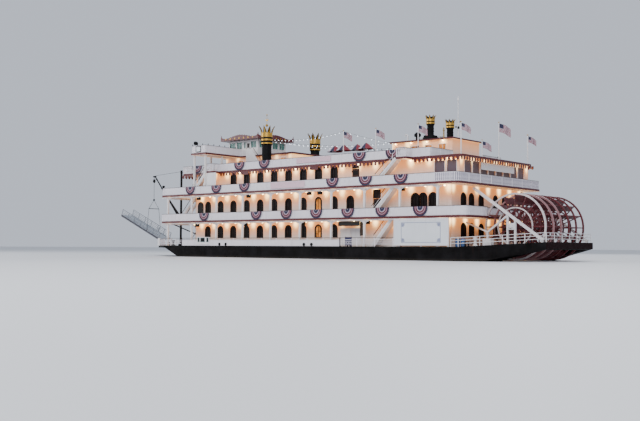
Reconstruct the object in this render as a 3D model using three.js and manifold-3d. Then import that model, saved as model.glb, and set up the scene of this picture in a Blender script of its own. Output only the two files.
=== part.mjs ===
// A three-deck sternwheel river steamer, built as a half-size model in millimetres.
// X points to the bow, Y to port and Z up. While the parts are built, X = 0 is the aft edge of deck 3
// and Z = 0 the flat bottom of the hull; at the end the boat is centred over its origin.

import * as THREE from "three";
import { mergeVertices } from "three/addons/utils/BufferGeometryUtils.js";
import Module from "manifold-3d";

const FT = 152.4; // one foot of the full-size boat on this half-size model
const GAP = 0.3; // running gap between pieces that rest on each other

// Driving dimensions of the hull
const HALF_BEAM = 30.6 * FT;
const DRAFT = 6 * FT;
const HULL_FRONT_SHOULDER = 151 * FT; // where the full beam begins to close towards the bow
const BOW_TIP_X = 189.5 * FT;
const BOW_TIP_HALF = 2.2 * FT;
const TRANSOM_X = -25.8 * FT;
const TRANSOM_HALF = 17.6 * FT;
const TRANSOM_DEPTH = 2.2 * FT;
const STERN_SHEER = 1.7 * FT; // rise of the main deck from deck 3's aft edge to the transom
const STERN_RAKE_FOOT_X = 20 * FT;
const DECK_EDGE = 1 * FT; // thickness of the deck where it overhangs the bow
const BOW_FOOT = { shoulder: 128 * FT, tip: 158 * FT }; // the bow's plan at the bottom of the hull
const BOW_HEAD = { shoulder: 150 * FT, tip: 184 * FT }; // and just under the deck

// Rudders, ahead of the wheel's aft edge on each side of the well
const RUDDER_X = -10 * FT;
const RUDDER_Y = 19.2 * FT;
const RUDDER_TOP = 5.4 * FT;
const TRUNK_BOTTOM = 5.9 * FT;

// Levels: the top of each deck above the bottom of the hull
const MAIN_DECK = 10.8 * FT;
const DECK_2 = 21.4 * FT;
const DECK_3 = 32.9 * FT;
const ROOF_DECK = 42.4 * FT;
const BRIDGE_DECK = 50.4 * FT;
const SLAB = 0.75 * FT;

// Plan of the superstructure
const DECK_FRONT_X = 154.5 * FT;
const DECK_CORNER = 3 * FT;
const DECK_2_HORN_X = -3.3 * FT; // deck 2 reaches aft on each side of the wheel
const ROOF_HALF = 25.4 * FT;
const ROOF_AFT_X = 1.4 * FT;
const ROOF_FRONT_X = 145.5 * FT;
const ROOF_RAIL_AFT_X = 14.5 * FT;
const CABIN_HALF = 24.6 * FT;
const CABIN_FRONT_X = 136.5 * FT;
const CABIN_AFT_X = 6 * FT;
const LOUNGE_AFT_X = 2.9 * FT;
const WALL = 0.5 * FT;
const RAIL_HEIGHT = 3.25 * FT;
const RAIL_INSET = 0.35 * FT;
const COLUMN_PITCH = 15.7 * FT;
const FIRST_COLUMN_X = 8.4 * FT;
const COLUMN_SIDE = 0.7 * FT;
const COLUMN_Y = HALF_BEAM - 1.2 * FT;
const SIGN_X = [3.4 * FT, 26 * FT];

// Houses on the roof deck, and the bridge deck with a wing out to each side
const TEXAS = { x: [94.5 * FT, 134.5 * FT], half: 8.85 * FT };
const PILOTHOUSE = { x: [114.6 * FT, 132.9 * FT], half: 8.85 * FT, top: 57.4 * FT };
const DECKHOUSE = { x: [15.2 * FT, 42 * FT], half: 9.4 * FT, top: 50 * FT };
const HOUSE_ROOF = 0.6 * FT;
const BRIDGE_HALF = 9.6 * FT;
const BRIDGE_X = [93.5 * FT, 135.5 * FT];
const WING_X = [124.5 * FT, 133.5 * FT];

// Windows of the three saloons
const WINDOW_PITCH = 7.85 * FT;
const FIRST_WINDOW_X = 58.1 * FT;
const WINDOW_WIDTH = 2.9 * FT;
const WINDOW_HEIGHT = 4.8 * FT;
const WINDOW_SILL = 3.3 * FT;
const DOOR_HEIGHT = 6.9 * FT;
const PILOT_DOOR_HEIGHT = 6.3 * FT;
const DOOR_THICKNESS = 0.3 * FT;
const DOOR_CLEARANCE = 0.08 * FT;
const DOOR_FOOT = 0.28 * FT;

// Stern wheel
const WHEEL_X = -12.6 * FT;
const WHEEL_Z = 17.7 * FT;
const WHEEL_RADIUS = 11.4 * FT;
const WHEEL_HALF = 14.4 * FT;
const WHEEL_RINGS = 6;
const WHEEL_ARMS = 16;
const WELL_HALF = 15.6 * FT;
const WELL_AFT_X = -24.3 * FT;
const WELL_FRONT_X = -1.2 * FT;
const BEARING_Y = 16.9 * FT;

// Bow gear
const MAST_X = 175.5 * FT;
const MAST_TOP = 47.4 * FT;
const MAST_RADIUS = 0.55 * FT;
const BOOM_HEEL_X = 177 * FT;
const BOOM_HEEL_Z = 24.5 * FT;
const BOOM_HEAD_X = 195.6 * FT;
const BOOM_HEAD_Z = 45.3 * FT;
const STAGE_HEEL_X = 187.2 * FT;
const STAGE_HEEL_Z = 13.8 * FT;
const STAGE_LENGTH = 33.5 * FT;
const STAGE_HALF = 3.5 * FT;
const STAGE_ANGLE = THREE.MathUtils.degToRad(22); // how far the raised stage stands above level

const white = { color: 0xe9e7e1, roughness: 0.5, metalness: 0 };
const black = { color: 0x16161a, roughness: 0.55, metalness: 0 };
const maroon = { color: 0x5c1620, roughness: 0.5, metalness: 0 };
const red = { color: 0x8c1d22, roughness: 0.5, metalness: 0 };
const gold = { color: 0xb98a35, roughness: 0.35, metalness: 0.7 };
const steel = { color: 0x5a5d61, roughness: 0.5, metalness: 0.6 };
const pale = { color: 0xd3dfea, roughness: 0.5, metalness: 0 };

const wasm = await Module();
wasm.setup();

const ARC_STEPS = 3;
const boat = new THREE.Group();

function solid(geometry) {
  const plain = geometry.clone();
  plain.deleteAttribute("normal");
  plain.deleteAttribute("uv");
  const merged = mergeVertices(plain, 1e-3);
  return new wasm.Manifold(
    new wasm.Mesh({
      numProp: 3,
      vertProperties: Float32Array.from(merged.attributes.position.array),
      triVerts: Uint32Array.from(merged.index.array),
    }),
  );
}

function geometryOf(body) {
  const mesh = body.getMesh();
  const geometry = new THREE.BufferGeometry();
  geometry.setAttribute("position", new THREE.BufferAttribute(mesh.vertProperties.slice(), 3));
  geometry.setIndex(new THREE.BufferAttribute(mesh.triVerts.slice(), 1));
  return geometry;
}

// Joins any number of closed geometries into one body.
function join(geometries) {
  return geometries.map(solid).reduce((whole, piece) => whole.add(piece));
}

function cut(body, geometries) {
  return geometries.length ? body.subtract(join(geometries)) : body;
}

function add(name, shape, finish) {
  const geometry = shape.isBufferGeometry ? shape : geometryOf(shape);
  geometry.computeVertexNormals();
  const mesh = new THREE.Mesh(geometry, new THREE.MeshStandardMaterial(finish));
  mesh.name = name;
  boat.add(mesh);
  return mesh;
}

// A box between two corners.
function block(x0, x1, y0, y1, z0, z1) {
  const box = new THREE.BoxGeometry(Math.abs(x1 - x0), Math.abs(y1 - y0), Math.abs(z1 - z0));
  return box.translate((x0 + x1) / 2, (y0 + y1) / 2, (z0 + z1) / 2);
}

function extrude(outline, depth, curveSegments = ARC_STEPS) {
  return new THREE.ExtrudeGeometry(outline, { depth, bevelEnabled: false, curveSegments });
}

// A plan outline raised from z0 to z1.
function raise(outline, z0, z1) {
  return extrude(outline, z1 - z0).translate(0, 0, z0);
}

// An outline in X and Z, given thickness from y0 to y1.
function alongY(outline, y0, y1) {
  return extrude(outline, y1 - y0).rotateX(Math.PI / 2).translate(0, y1, 0);
}

// An outline in Y and Z, given thickness from x0 to x1.
function alongX(outline, x0, x1) {
  const axes = new THREE.Matrix4().makeBasis(
    new THREE.Vector3(0, 1, 0),
    new THREE.Vector3(0, 0, 1),
    new THREE.Vector3(1, 0, 0),
  );
  return extrude(outline, x1 - x0).applyMatrix4(axes).translate(x0, 0, 0);
}

function polygon(points) {
  return new THREE.Shape(points.map(([x, y]) => new THREE.Vector2(x, y)));
}

function rectangle(x0, x1, y0, y1) {
  return polygon([[x0, y0], [x1, y0], [x1, y1], [x0, y1]]);
}

// A straight round bar between two points.
function bar(from, to, radius, sides = 8, endRadius = radius) {
  const start = new THREE.Vector3(...from);
  const span = new THREE.Vector3(...to).sub(start);
  const rod = new THREE.CylinderGeometry(endRadius, radius, span.length(), sides);
  const turn = new THREE.Quaternion();
  turn.setFromUnitVectors(new THREE.Vector3(0, 1, 0), span.clone().normalize());
  return rod.applyQuaternion(turn).translate(...start.addScaledVector(span, 0.5).toArray());
}

// A straight square timber or box beam in a plane of constant Y.
function beam([x0, z0], [x1, z1], y, depth, width) {
  const length = Math.hypot(x1 - x0, z1 - z0);
  const box = new THREE.BoxGeometry(length, width, depth);
  box.rotateY(-Math.atan2(z1 - z0, x1 - x0));
  return box.translate((x0 + x1) / 2, y, (z0 + z1) / 2);
}

// A profile of [left, up] points carried along a level line with mitred corners.
function carried(profile, points, closed) {
  const line = points.map(([x, y]) => new THREE.Vector2(x, y));
  const last = line.length - 1;
  const leftOf = (from, to) => {
    const step = to.clone().sub(from).normalize();
    return new THREE.Vector2(-step.y, step.x);
  };
  const position = line.flatMap((corner, i) => {
    const normals = [];
    if (closed || i > 0) normals.push(leftOf(line.at(i - 1), corner));
    if (closed || i < last) normals.push(leftOf(corner, line[(i + 1) % line.length]));
    const left = normals[0].clone().add(normals.at(-1));
    left.multiplyScalar(2 / left.lengthSq());
    return profile.flatMap(([out, up]) => [corner.x + out * left.x, corner.y + out * left.y, up]);
  });
  const size = profile.length;
  const index = range(closed ? line.length : last, (i) => range(size, (j) => {
    const [here, next] = [i * size, ((i + 1) % line.length) * size];
    const k = (j + 1) % size;
    return [here + j, here + k, next + k, here + j, next + k, next + j];
  })).flat(2);
  if (!closed) {
    const section = profile.map(([out, up]) => new THREE.Vector2(out, up));
    const faces = THREE.ShapeUtils.triangulateShape(section, []);
    index.push(...faces.flatMap(([a, b, c]) => [a, c, b, last * size + a, last * size + b, last * size + c]));
  }
  const geometry = new THREE.BufferGeometry();
  geometry.setAttribute("position", new THREE.Float32BufferAttribute(position, 3));
  return geometry.setIndex(index);
}

// A closed body between two level outlines with the same number of points.
function lofted(lower, z0, upper, z1) {
  const size = lower.length;
  const position = [...lower.map(([x, y]) => [x, y, z0]), ...upper.map(([x, y]) => [x, y, z1])];
  const faces = THREE.ShapeUtils.triangulateShape(lower.map(([x, y]) => new THREE.Vector2(x, y)), []);
  const index = faces.flatMap(([a, b, c]) => [a, c, b, size + a, size + b, size + c]);
  index.push(...range(size, (i) => {
    const next = (i + 1) % size;
    return [i, next, size + next, i, size + next, size + i];
  }).flat());
  const geometry = new THREE.BufferGeometry();
  geometry.setAttribute("position", new THREE.Float32BufferAttribute(position.flat(), 3));
  return geometry.setIndex(index);
}

function turned(profile, sides) {
  const points = profile.map(([radius, height]) => new THREE.Vector2(radius, height));
  return new THREE.LatheGeometry(points, sides).rotateX(Math.PI / 2);
}

function bothSides(make) {
  return [["port", 1], ["starboard", -1]].flatMap(([side, sign]) => make(side, sign));
}

function range(count, make) {
  return Array.from({ length: count }, (unused, index) => make(index));
}

// A deck outline with rounded corners; horns, where given, reach aft on each side of the wheel.
function deckOutline(aft, front, half, corner, hornX = aft, bayHalf = 0) {
  const outline = new THREE.Shape();
  outline.moveTo(aft, -bayHalf);
  if (hornX !== aft) outline.lineTo(hornX, -bayHalf);
  outline.lineTo(hornX, -half + corner);
  outline.absarc(hornX + corner, -half + corner, corner, Math.PI, 1.5 * Math.PI);
  outline.absarc(front - corner, -half + corner, corner, -0.5 * Math.PI, 0);
  outline.absarc(front - corner, half - corner, corner, 0, 0.5 * Math.PI);
  outline.absarc(hornX + corner, half - corner, corner, 0.5 * Math.PI, Math.PI);
  if (hornX !== aft) outline.lineTo(hornX, bayHalf);
  if (bayHalf > 0) outline.lineTo(aft, bayHalf);
  return outline;
}

// Hull: a flat-bottomed river hull, raked at both ends, with an open well for the wheel.
function hullPlan(shoulder, tip) {
  return [
    [TRANSOM_X, -TRANSOM_HALF], [0, -HALF_BEAM], [shoulder, -HALF_BEAM], [tip, -BOW_TIP_HALF],
    [tip, BOW_TIP_HALF], [shoulder, HALF_BEAM], [0, HALF_BEAM], [TRANSOM_X, TRANSOM_HALF],
  ];
}

function mainDeckAt(x) {
  return MAIN_DECK + (x < 0 ? (STERN_SHEER * x) / TRANSOM_X : 0);
}

function hullBottomAt(x) {
  const transomFoot = MAIN_DECK + STERN_SHEER - TRANSOM_DEPTH;
  return (transomFoot * (STERN_RAKE_FOOT_X - x)) / (STERN_RAKE_FOOT_X - TRANSOM_X);
}

function hull() {
  const [aftX, foreX, deckFoot] = [TRANSOM_X - FT, BOW_TIP_X + FT, MAIN_DECK - DECK_EDGE];
  const side = polygon([
    [aftX, mainDeckAt(aftX)], [aftX, hullBottomAt(TRANSOM_X)], [TRANSOM_X, hullBottomAt(TRANSOM_X)],
    [STERN_RAKE_FOOT_X, 0], [foreX, 0], [foreX, MAIN_DECK], [0, MAIN_DECK],
  ]);
  const above = MAIN_DECK + 3 * FT;
  const deck = raise(polygon(hullPlan(HULL_FRONT_SHOULDER, BOW_TIP_X)), deckFoot, above);
  const below = lofted(hullPlan(BOW_FOOT.shoulder, BOW_FOOT.tip), 0,
    hullPlan(BOW_HEAD.shoulder, BOW_HEAD.tip), deckFoot);
  const shell = solid(alongY(side, -HALF_BEAM - FT, HALF_BEAM + FT)).intersect(join([deck, below]));
  const open = cut(shell, [block(WELL_AFT_X, WELL_FRONT_X, -WELL_HALF, WELL_HALF, -FT, above)]);
  const trunks = bothSides((side, sign) => [
    bar([RUDDER_X, sign * RUDDER_Y, TRUNK_BOTTOM], [RUDDER_X, sign * RUDDER_Y, MAIN_DECK], 0.5 * FT, 12),
  ]);
  return open.add(join(trunks));
}

// A blade on its stock, turning in the trunk above it.
function rudder(sign) {
  const blade = block(-5.5 * FT, 2 * FT, -0.2 * FT, 0.2 * FT, 0.6 * FT, RUDDER_TOP);
  const stock = bar([0, 0, 0.8 * FT], [0, 0, TRUNK_BOTTOM - GAP], 0.36 * FT, 12);
  return join([blade, stock]).translate([RUDDER_X, sign * RUDDER_Y, 0]);
}

// An arched opening standing on its sill.
function arch(middle, sill, width, height) {
  const opening = new THREE.Shape();
  const springing = sill + height - width / 2;
  opening.moveTo(middle - width / 2, sill);
  opening.lineTo(middle + width / 2, sill);
  opening.lineTo(middle + width / 2, springing);
  opening.absarc(middle, springing, width / 2, 0, Math.PI);
  return opening;
}

// A wall from y0 to y1 or from x0 to x1, with its openings cut right through.
function wallAlongY(outline, openings, y0, y1) {
  return cut(solid(alongY(outline, y0, y1)), openings.map((shape) => alongY(shape, y0 - FT, y1 + FT)));
}

function wallAlongX(outline, openings, x0, x1) {
  return cut(solid(alongX(outline, x0, x1)), openings.map((shape) => alongX(shape, x0 - FT, x1 + FT)));
}

// Saloons: name, deck level, level above, aft wall, number of windows in the row of equal bays, single
// windows outside the row, door and glazed panels.
const SALOONS = [
  {
    name: "main_saloon", deck: MAIN_DECK, above: DECK_2, aft: CABIN_AFT_X,
    row: 10, singles: [], door: [45 * FT, 55 * FT], lights: [],
  },
  {
    name: "deck_2_saloon", deck: DECK_2, above: DECK_3, aft: CABIN_AFT_X,
    row: 10, singles: [50.2 * FT, 20.9 * FT, 17.6 * FT, 13.5 * FT], door: [36 * FT, 39.6 * FT], lights: [],
  },
  {
    name: "deck_3_saloon", deck: DECK_3, above: ROOF_DECK, aft: LOUNGE_AFT_X,
    row: 8, singles: [133.8 * FT], door: [46 * FT, 49.4 * FT],
    lights: [[3.9 * FT, 7.9 * FT], [8.7 * FT, 12.9 * FT]],
  },
];
const DOOR_SILL = 0.15 * FT;
const FRONT_WINDOWS_Y = [-16 * FT, -8 * FT, 8 * FT, 16 * FT];
const FRONT_DOOR_HALF = 3 * FT;
const AFT_WINDOWS_Y = [-17 * FT, -11.7 * FT, -5.1 * FT, 5.1 * FT, 11.7 * FT, 17 * FT];
const LOUNGE = { bay: 5.4 * FT, bays: 8, post: 0.6 * FT, sill: 1.2 * FT, head: 1 * FT }; // glazed aft end

function saloonWalls({ name, deck, above, aft, row, singles, door, lights }) {
  const bottom = deck + GAP;
  const top = above - SLAB - GAP;
  const doorTop = deck + DOOR_HEIGHT;
  const inner = CABIN_HALF - WALL - GAP;
  const sill = deck + WINDOW_SILL;
  const [glassFoot, glassHead] = [deck + LOUNGE.sill, top - LOUNGE.head];
  const windows = [...range(row, (i) => FIRST_WINDOW_X + i * WINDOW_PITCH), ...singles];
  bothSides((side, sign) => {
    const holes = windows.map((x) => arch(x, sill, WINDOW_WIDTH, WINDOW_HEIGHT));
    holes.push(...lights.map(([x0, x1]) => rectangle(x0, x1, glassFoot, glassHead)));
    holes.push(rectangle(...door, bottom + DOOR_SILL, doorTop));
    const wall = rectangle(aft, CABIN_FRONT_X, bottom, top);
    const [y0, y1] = [sign * CABIN_HALF, sign * (CABIN_HALF - WALL)].sort((a, b) => a - b);
    return [add(`${name}_wall_${side}`, wallAlongY(wall, holes, y0, y1), white)];
  });
  const frontHoles = FRONT_WINDOWS_Y.map((y) => arch(y, sill, WINDOW_WIDTH, WINDOW_HEIGHT));
  frontHoles.push(rectangle(-FRONT_DOOR_HALF, FRONT_DOOR_HALF, bottom + DOOR_SILL, doorTop));
  const across = rectangle(-inner, inner, bottom, top);
  add(`${name}_wall_front`, wallAlongX(across, frontHoles, CABIN_FRONT_X - WALL, CABIN_FRONT_X), white);
  const firstBay = (-LOUNGE.bay * LOUNGE.bays) / 2;
  const aftHoles = lights.length
    ? range(LOUNGE.bays, (i) => rectangle(firstBay + i * LOUNGE.bay + LOUNGE.post / 2,
      firstBay + (i + 1) * LOUNGE.bay - LOUNGE.post / 2, glassFoot, glassHead))
    : AFT_WINDOWS_Y.map((y) => arch(y, sill, WINDOW_WIDTH, WINDOW_HEIGHT));
  add(`${name}_wall_aft`, wallAlongX(across, aftHoles, aft, aft + WALL), white);
}

// Side stairs between the decks, port and starboard: foot, head, level below, level above. The roof deck's
// flights, one aft and one forward, end on landings outside its rail.
const STAIR_Y = 27.6 * FT;
const STAIR_HALF = 1.4 * FT;
const MAIN_STAIRS = { footX: 36.5 * FT, headX: 27.5 * FT, from: MAIN_DECK, to: DECK_2 };
const DECK_2_STAIRS = { footX: 37.5 * FT, headX: 26.6 * FT, from: DECK_2, to: DECK_3 };
const ROOF_STAIRS = [
  { footX: 36 * FT, headX: 26 * FT, from: DECK_3, to: ROOF_DECK },
  { footX: 134.5 * FT, headX: 125.5 * FT, from: DECK_3, to: ROOF_DECK },
];
const STAIR_STEPS = 12;
const LANDING = 4.2 * FT;

function stairFlight({ footX, headX, from, to }) {
  const rise = (to - from - GAP) / STAIR_STEPS;
  const going = (footX - headX) / STAIR_STEPS;
  const points = [[footX, from + GAP]];
  for (let step = 0; step < STAIR_STEPS; step += 1) {
    const nosing = footX - step * going;
    points.push([nosing, from + GAP + (step + 1) * rise]);
    points.push([nosing - going, from + GAP + (step + 1) * rise]);
  }
  points.pop();
  points.push([headX - 0.3 * FT, to], [headX - 0.3 * FT, to - SLAB], [footX - 1.4 * going, from + GAP]);
  return polygon(points);
}

function stairs(flight) {
  return [-1, 1].map((sign) => (
    alongY(stairFlight(flight), sign * STAIR_Y - STAIR_HALF, sign * STAIR_Y + STAIR_HALF)
  ));
}

// The openings in a deck that a flight comes up through.
function stairWells({ footX, headX, to }) {
  const margin = 0.1 * FT;
  const headroom = 0.7 * (footX - headX);
  return [-1, 1].map((sign) => block(headX, headX + headroom, sign * STAIR_Y - STAIR_HALF - margin,
    sign * STAIR_Y + STAIR_HALF + margin, to - FT, to + FT));
}

// Flagpoles on the roof deck: place, top and radius.
const FLAGPOLES = [
  { x: 54 * FT, y: 24.2 * FT, top: 54.6 * FT, radius: 0.13 * FT },
  { x: 38.7 * FT, y: 24.2 * FT, top: 54.2 * FT, radius: 0.13 * FT },
  { x: 20 * FT, y: 24.2 * FT, top: 54.2 * FT, radius: 0.13 * FT },
  { x: 2.8 * FT, y: 23.6 * FT, top: 53.6 * FT, radius: 0.13 * FT },
  { x: 2.8 * FT, y: 9.6 * FT, top: 48.6 * FT, radius: 0.13 * FT },
  { x: 2.8 * FT, y: -2.2 * FT, top: 56.2 * FT, radius: 0.15 * FT },
  { x: 2.8 * FT, y: -24.2 * FT, top: 53.7 * FT, radius: 0.25 * FT },
];

// Decks, each with the side stairs that come up to it.
function decks() {
  const slab = (outline, top) => solid(raise(outline, top - SLAB, top));
  const deck2 = deckOutline(0, DECK_FRONT_X, HALF_BEAM, DECK_CORNER, DECK_2_HORN_X, WELL_HALF + 0.2 * FT);
  add("deck_2", cut(slab(deck2, DECK_2), stairWells(MAIN_STAIRS)).add(join(stairs(MAIN_STAIRS))), maroon);
  const deck3 = deckOutline(0, DECK_FRONT_X, HALF_BEAM, DECK_CORNER);
  add("deck_3", cut(slab(deck3, DECK_3), stairWells(DECK_2_STAIRS)).add(join(stairs(DECK_2_STAIRS))), maroon);
  const roof = deckOutline(ROOF_AFT_X, ROOF_FRONT_X, ROOF_HALF, 1.5 * FT);
  const landings = ROOF_STAIRS.flatMap(({ headX }) => [-1, 1].map((sign) => (
    block(headX - LANDING, headX, sign * (ROOF_HALF - FT), sign * (STAIR_Y + STAIR_HALF),
      ROOF_DECK - SLAB, ROOF_DECK)
  )));
  const poles = FLAGPOLES.map(({ x, y, top, radius }) => (
    bar([x, y, ROOF_DECK - SLAB / 2], [x, y, top], radius)
  ));
  const fittings = [...landings, ...ROOF_STAIRS.flatMap(stairs), ...poles];
  add("roof_deck", slab(roof, ROOF_DECK).add(join(fittings)), maroon);
}

// Railings: a panel with a top rail, following a line of straight runs, standing on a deck.
const RAIL_PANEL = 0.12 * FT;
const TOP_RAIL = 0.35 * FT;

function railing(points, deck, closed = false) {
  const [panel, rail] = [RAIL_PANEL / 2, TOP_RAIL / 2];
  const top = deck + RAIL_HEIGHT;
  const under = top - 0.7 * TOP_RAIL;
  return carried([
    [-panel, deck + GAP], [panel, deck + GAP], [panel, under], [rail, under],
    [rail, top], [-rail, top], [-rail, under], [-panel, under],
  ], points, closed);
}

// A rail line just inside a deck's edge, with cut-off corners.
function edgeLine(aft, front, half) {
  const edge = half - RAIL_INSET;
  const corner = 0.7 * DECK_CORNER;
  const nose = front - RAIL_INSET;
  return [
    [aft, edge - corner], [aft + corner, edge], [nose - corner, edge], [nose, edge - corner],
    [nose, -edge + corner], [nose - corner, -edge], [aft + corner, -edge], [aft, -edge + corner],
  ];
}

function railings() {
  const rim = HALF_BEAM - RAIL_INSET;
  bothSides((side, sign) => [add(`main_rail_${side}`, railing([
    [SIGN_X[1] + 0.4 * FT, sign * rim], [HULL_FRONT_SHOULDER - 0.4 * FT, sign * rim],
    [BOW_TIP_X - 5 * FT, sign * (BOW_TIP_HALF + 2.6 * FT)],
  ], MAIN_DECK), white)]);

  const bay = WELL_HALF + 0.2 * FT + RAIL_INSET;
  const horn = DECK_2_HORN_X + RAIL_INSET;
  add("deck_2_rail", railing([
    [RAIL_INSET, -bay], [RAIL_INSET, bay], [horn, bay],
    ...edgeLine(horn, DECK_FRONT_X, HALF_BEAM), [horn, -bay],
  ], DECK_2, true), white);
  add("deck_3_rail", railing(edgeLine(RAIL_INSET, DECK_FRONT_X, HALF_BEAM), DECK_3, true), white);

  const roofRim = ROOF_HALF - RAIL_INSET;
  const roofNose = ROOF_FRONT_X - RAIL_INSET;
  add("roof_rail", railing([
    [ROOF_RAIL_AFT_X, 10.4 * FT], [ROOF_RAIL_AFT_X, roofRim], [roofNose, roofRim], [roofNose, -roofRim],
    [ROOF_RAIL_AFT_X, -roofRim], [ROOF_RAIL_AFT_X, -10.4 * FT],
  ], ROOF_DECK), white);

  const wingAft = WING_X[0] + RAIL_INSET;
  const wingFront = WING_X[1] - RAIL_INSET;
  const inner = BRIDGE_HALF - RAIL_INSET;
  const bridgeNose = BRIDGE_X[1] - RAIL_INSET;
  add("bridge_rail", railing([
    [wingAft, inner], [wingAft, rim], [wingFront, rim], [wingFront, inner], [bridgeNose, inner],
    [bridgeNose, -inner], [wingFront, -inner], [wingFront, -rim], [wingAft, -rim], [wingAft, -inner],
  ], BRIDGE_DECK), white);
}

// Columns stand just inside the rails of the main deck and deck 2, under an edge beam that joins them.
const EDGE_BEAM = 0.6 * FT;

function columns(name, deck, above) {
  const noseX = DECK_FRONT_X - 1.6 * FT;
  const half = COLUMN_SIDE / 2;
  const top = above - SLAB - GAP;
  const places = [-1, 1].flatMap((sign) => [
    ...range(10, (i) => [FIRST_COLUMN_X + i * COLUMN_PITCH, sign * COLUMN_Y]),
    [noseX, sign * 10 * FT],
  ]);
  const posts = places.map(([x, y]) => block(x - half, x + half, y - half, y + half, deck + GAP, top));
  const beams = [-1, 1].map((sign) => block(FIRST_COLUMN_X - half, noseX + half,
    sign * COLUMN_Y - half, sign * COLUMN_Y + half, top - EDGE_BEAM, top));
  const crossBeam = block(noseX - half, noseX + half, -COLUMN_Y, COLUMN_Y, top - EDGE_BEAM, top);
  add(name, join([...posts, ...beams, crossBeam]), white);
}

// Bridge deck over the texas house, with a wing out to each side of the boat on four posts.
function bridge() {
  const middle = rectangle(...BRIDGE_X, -BRIDGE_HALF, BRIDGE_HALF);
  const wings = rectangle(...WING_X, -HALF_BEAM, HALF_BEAM);
  const [z0, z1] = [BRIDGE_DECK - SLAB, BRIDGE_DECK];
  const half = COLUMN_SIDE / 2;
  const posts = [-1, 1].flatMap((sign) => [WING_X[0] + FT, WING_X[1] - FT].flatMap((x) => (
    [[sign * COLUMN_Y, DECK_3], [sign * 20 * FT, ROOF_DECK]].map(([y, foot]) => (
      block(x - half, x + half, y - half, y + half, foot + GAP, z0 + SLAB / 2)
    ))
  )));
  add("bridge_deck", join([raise(middle, z0, z1), raise(wings, z0, z1), ...posts]), maroon);
}

const HOUSE_WINDOW = { sill: 3 * FT, width: 3 * FT, height: 3 * FT };
const HOUSE_DOOR = { half: 1.5 * FT, sill: 0.2 * FT, top: 6.6 * FT };
const PILOT_WINDOW = {
  sill: 3.4 * FT, head: 6.2 * FT,
  sidePitch: 4.4 * FT, sideWidth: 3.3 * FT,
  endPitch: 4.2 * FT, endWidth: 3.4 * FT,
};
const PILOT_DOOR_X = [119.3 * FT, 122 * FT];

// A hollow house of four walls, pierced by the boxes in holes.
function house(name, { x: [x0, x1], half }, z0, z1, holes, finish) {
  const outside = solid(block(x0, x1, -half, half, z0 + GAP, z1 - GAP));
  const inside = block(x0 + WALL, x1 - WALL, -half + WALL, half - WALL, z0 - FT, z1 + FT);
  add(name, cut(outside, [inside, ...holes]), finish);
}

function upperHouses() {
  const reach = HALF_BEAM;
  const texasTop = BRIDGE_DECK - SLAB;
  const sill = ROOF_DECK + HOUSE_WINDOW.sill;
  const windowsAlong = (first, pitch) => range(4, (i) => block(first + i * pitch,
    first + i * pitch + HOUSE_WINDOW.width, -reach, reach, sill, sill + HOUSE_WINDOW.height));
  const doorIn = (x) => block(x - FT, x + FT, -HOUSE_DOOR.half, HOUSE_DOOR.half,
    ROOF_DECK + HOUSE_DOOR.sill, ROOF_DECK + HOUSE_DOOR.top);
  const texasHoles = [...windowsAlong(98 * FT, 8.5 * FT), doorIn(TEXAS.x[0])];
  house("texas_house_walls", TEXAS, ROOF_DECK, texasTop, texasHoles, white);

  const panes = [BRIDGE_DECK + PILOT_WINDOW.sill, BRIDGE_DECK + PILOT_WINDOW.head];
  const { sidePitch, sideWidth, endPitch, endWidth } = PILOT_WINDOW;
  const firstSide = PILOTHOUSE.x[0] + FT;
  const firstEnd = -8 * FT;
  const pilotHoles = range(4, (i) => [
    block(firstSide + i * sidePitch, firstSide + i * sidePitch + sideWidth, -reach, reach, ...panes),
    block(PILOTHOUSE.x[0] - FT, PILOTHOUSE.x[1] + FT, firstEnd + i * endPitch,
      firstEnd + i * endPitch + endWidth, ...panes),
  ]).flat();
  pilotHoles.push(block(...PILOT_DOOR_X, 0, reach, BRIDGE_DECK + 0.2 * FT, BRIDGE_DECK + PILOT_DOOR_HEIGHT));
  house("pilothouse_walls", PILOTHOUSE, BRIDGE_DECK, PILOTHOUSE.top, pilotHoles, white);

  const deckhouseHoles = [...windowsAlong(18 * FT, 6 * FT), doorIn(DECKHOUSE.x[1])];
  house("deckhouse_walls", DECKHOUSE, ROOF_DECK, DECKHOUSE.top, deckhouseHoles, white);
  const eave = 0.8 * FT;
  add("deckhouse_roof", block(DECKHOUSE.x[0] - eave, DECKHOUSE.x[1] + eave,
    -DECKHOUSE.half - eave, DECKHOUSE.half + eave, DECKHOUSE.top, DECKHOUSE.top + HOUSE_ROOF), maroon);
}

// Pilothouse roof: a low slab under four cresting boards with a hump and upturned ends.
const PILOT_EAVE = 2.6 * FT;
const CREST_HEIGHT = 2.1 * FT;

function crestOutline(half) {
  const outline = new THREE.Shape();
  outline.moveTo(-half, 0);
  outline.lineTo(half, 0);
  outline.lineTo(half, 0.8 * CREST_HEIGHT);
  outline.quadraticCurveTo(0.86 * half, 0.25 * CREST_HEIGHT, 0.55 * half, 0.5 * CREST_HEIGHT);
  outline.quadraticCurveTo(0.2 * half, CREST_HEIGHT, 0, CREST_HEIGHT);
  outline.quadraticCurveTo(-0.2 * half, CREST_HEIGHT, -0.55 * half, 0.5 * CREST_HEIGHT);
  outline.quadraticCurveTo(-0.86 * half, 0.25 * CREST_HEIGHT, -half, 0.8 * CREST_HEIGHT);
  return outline;
}

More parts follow.
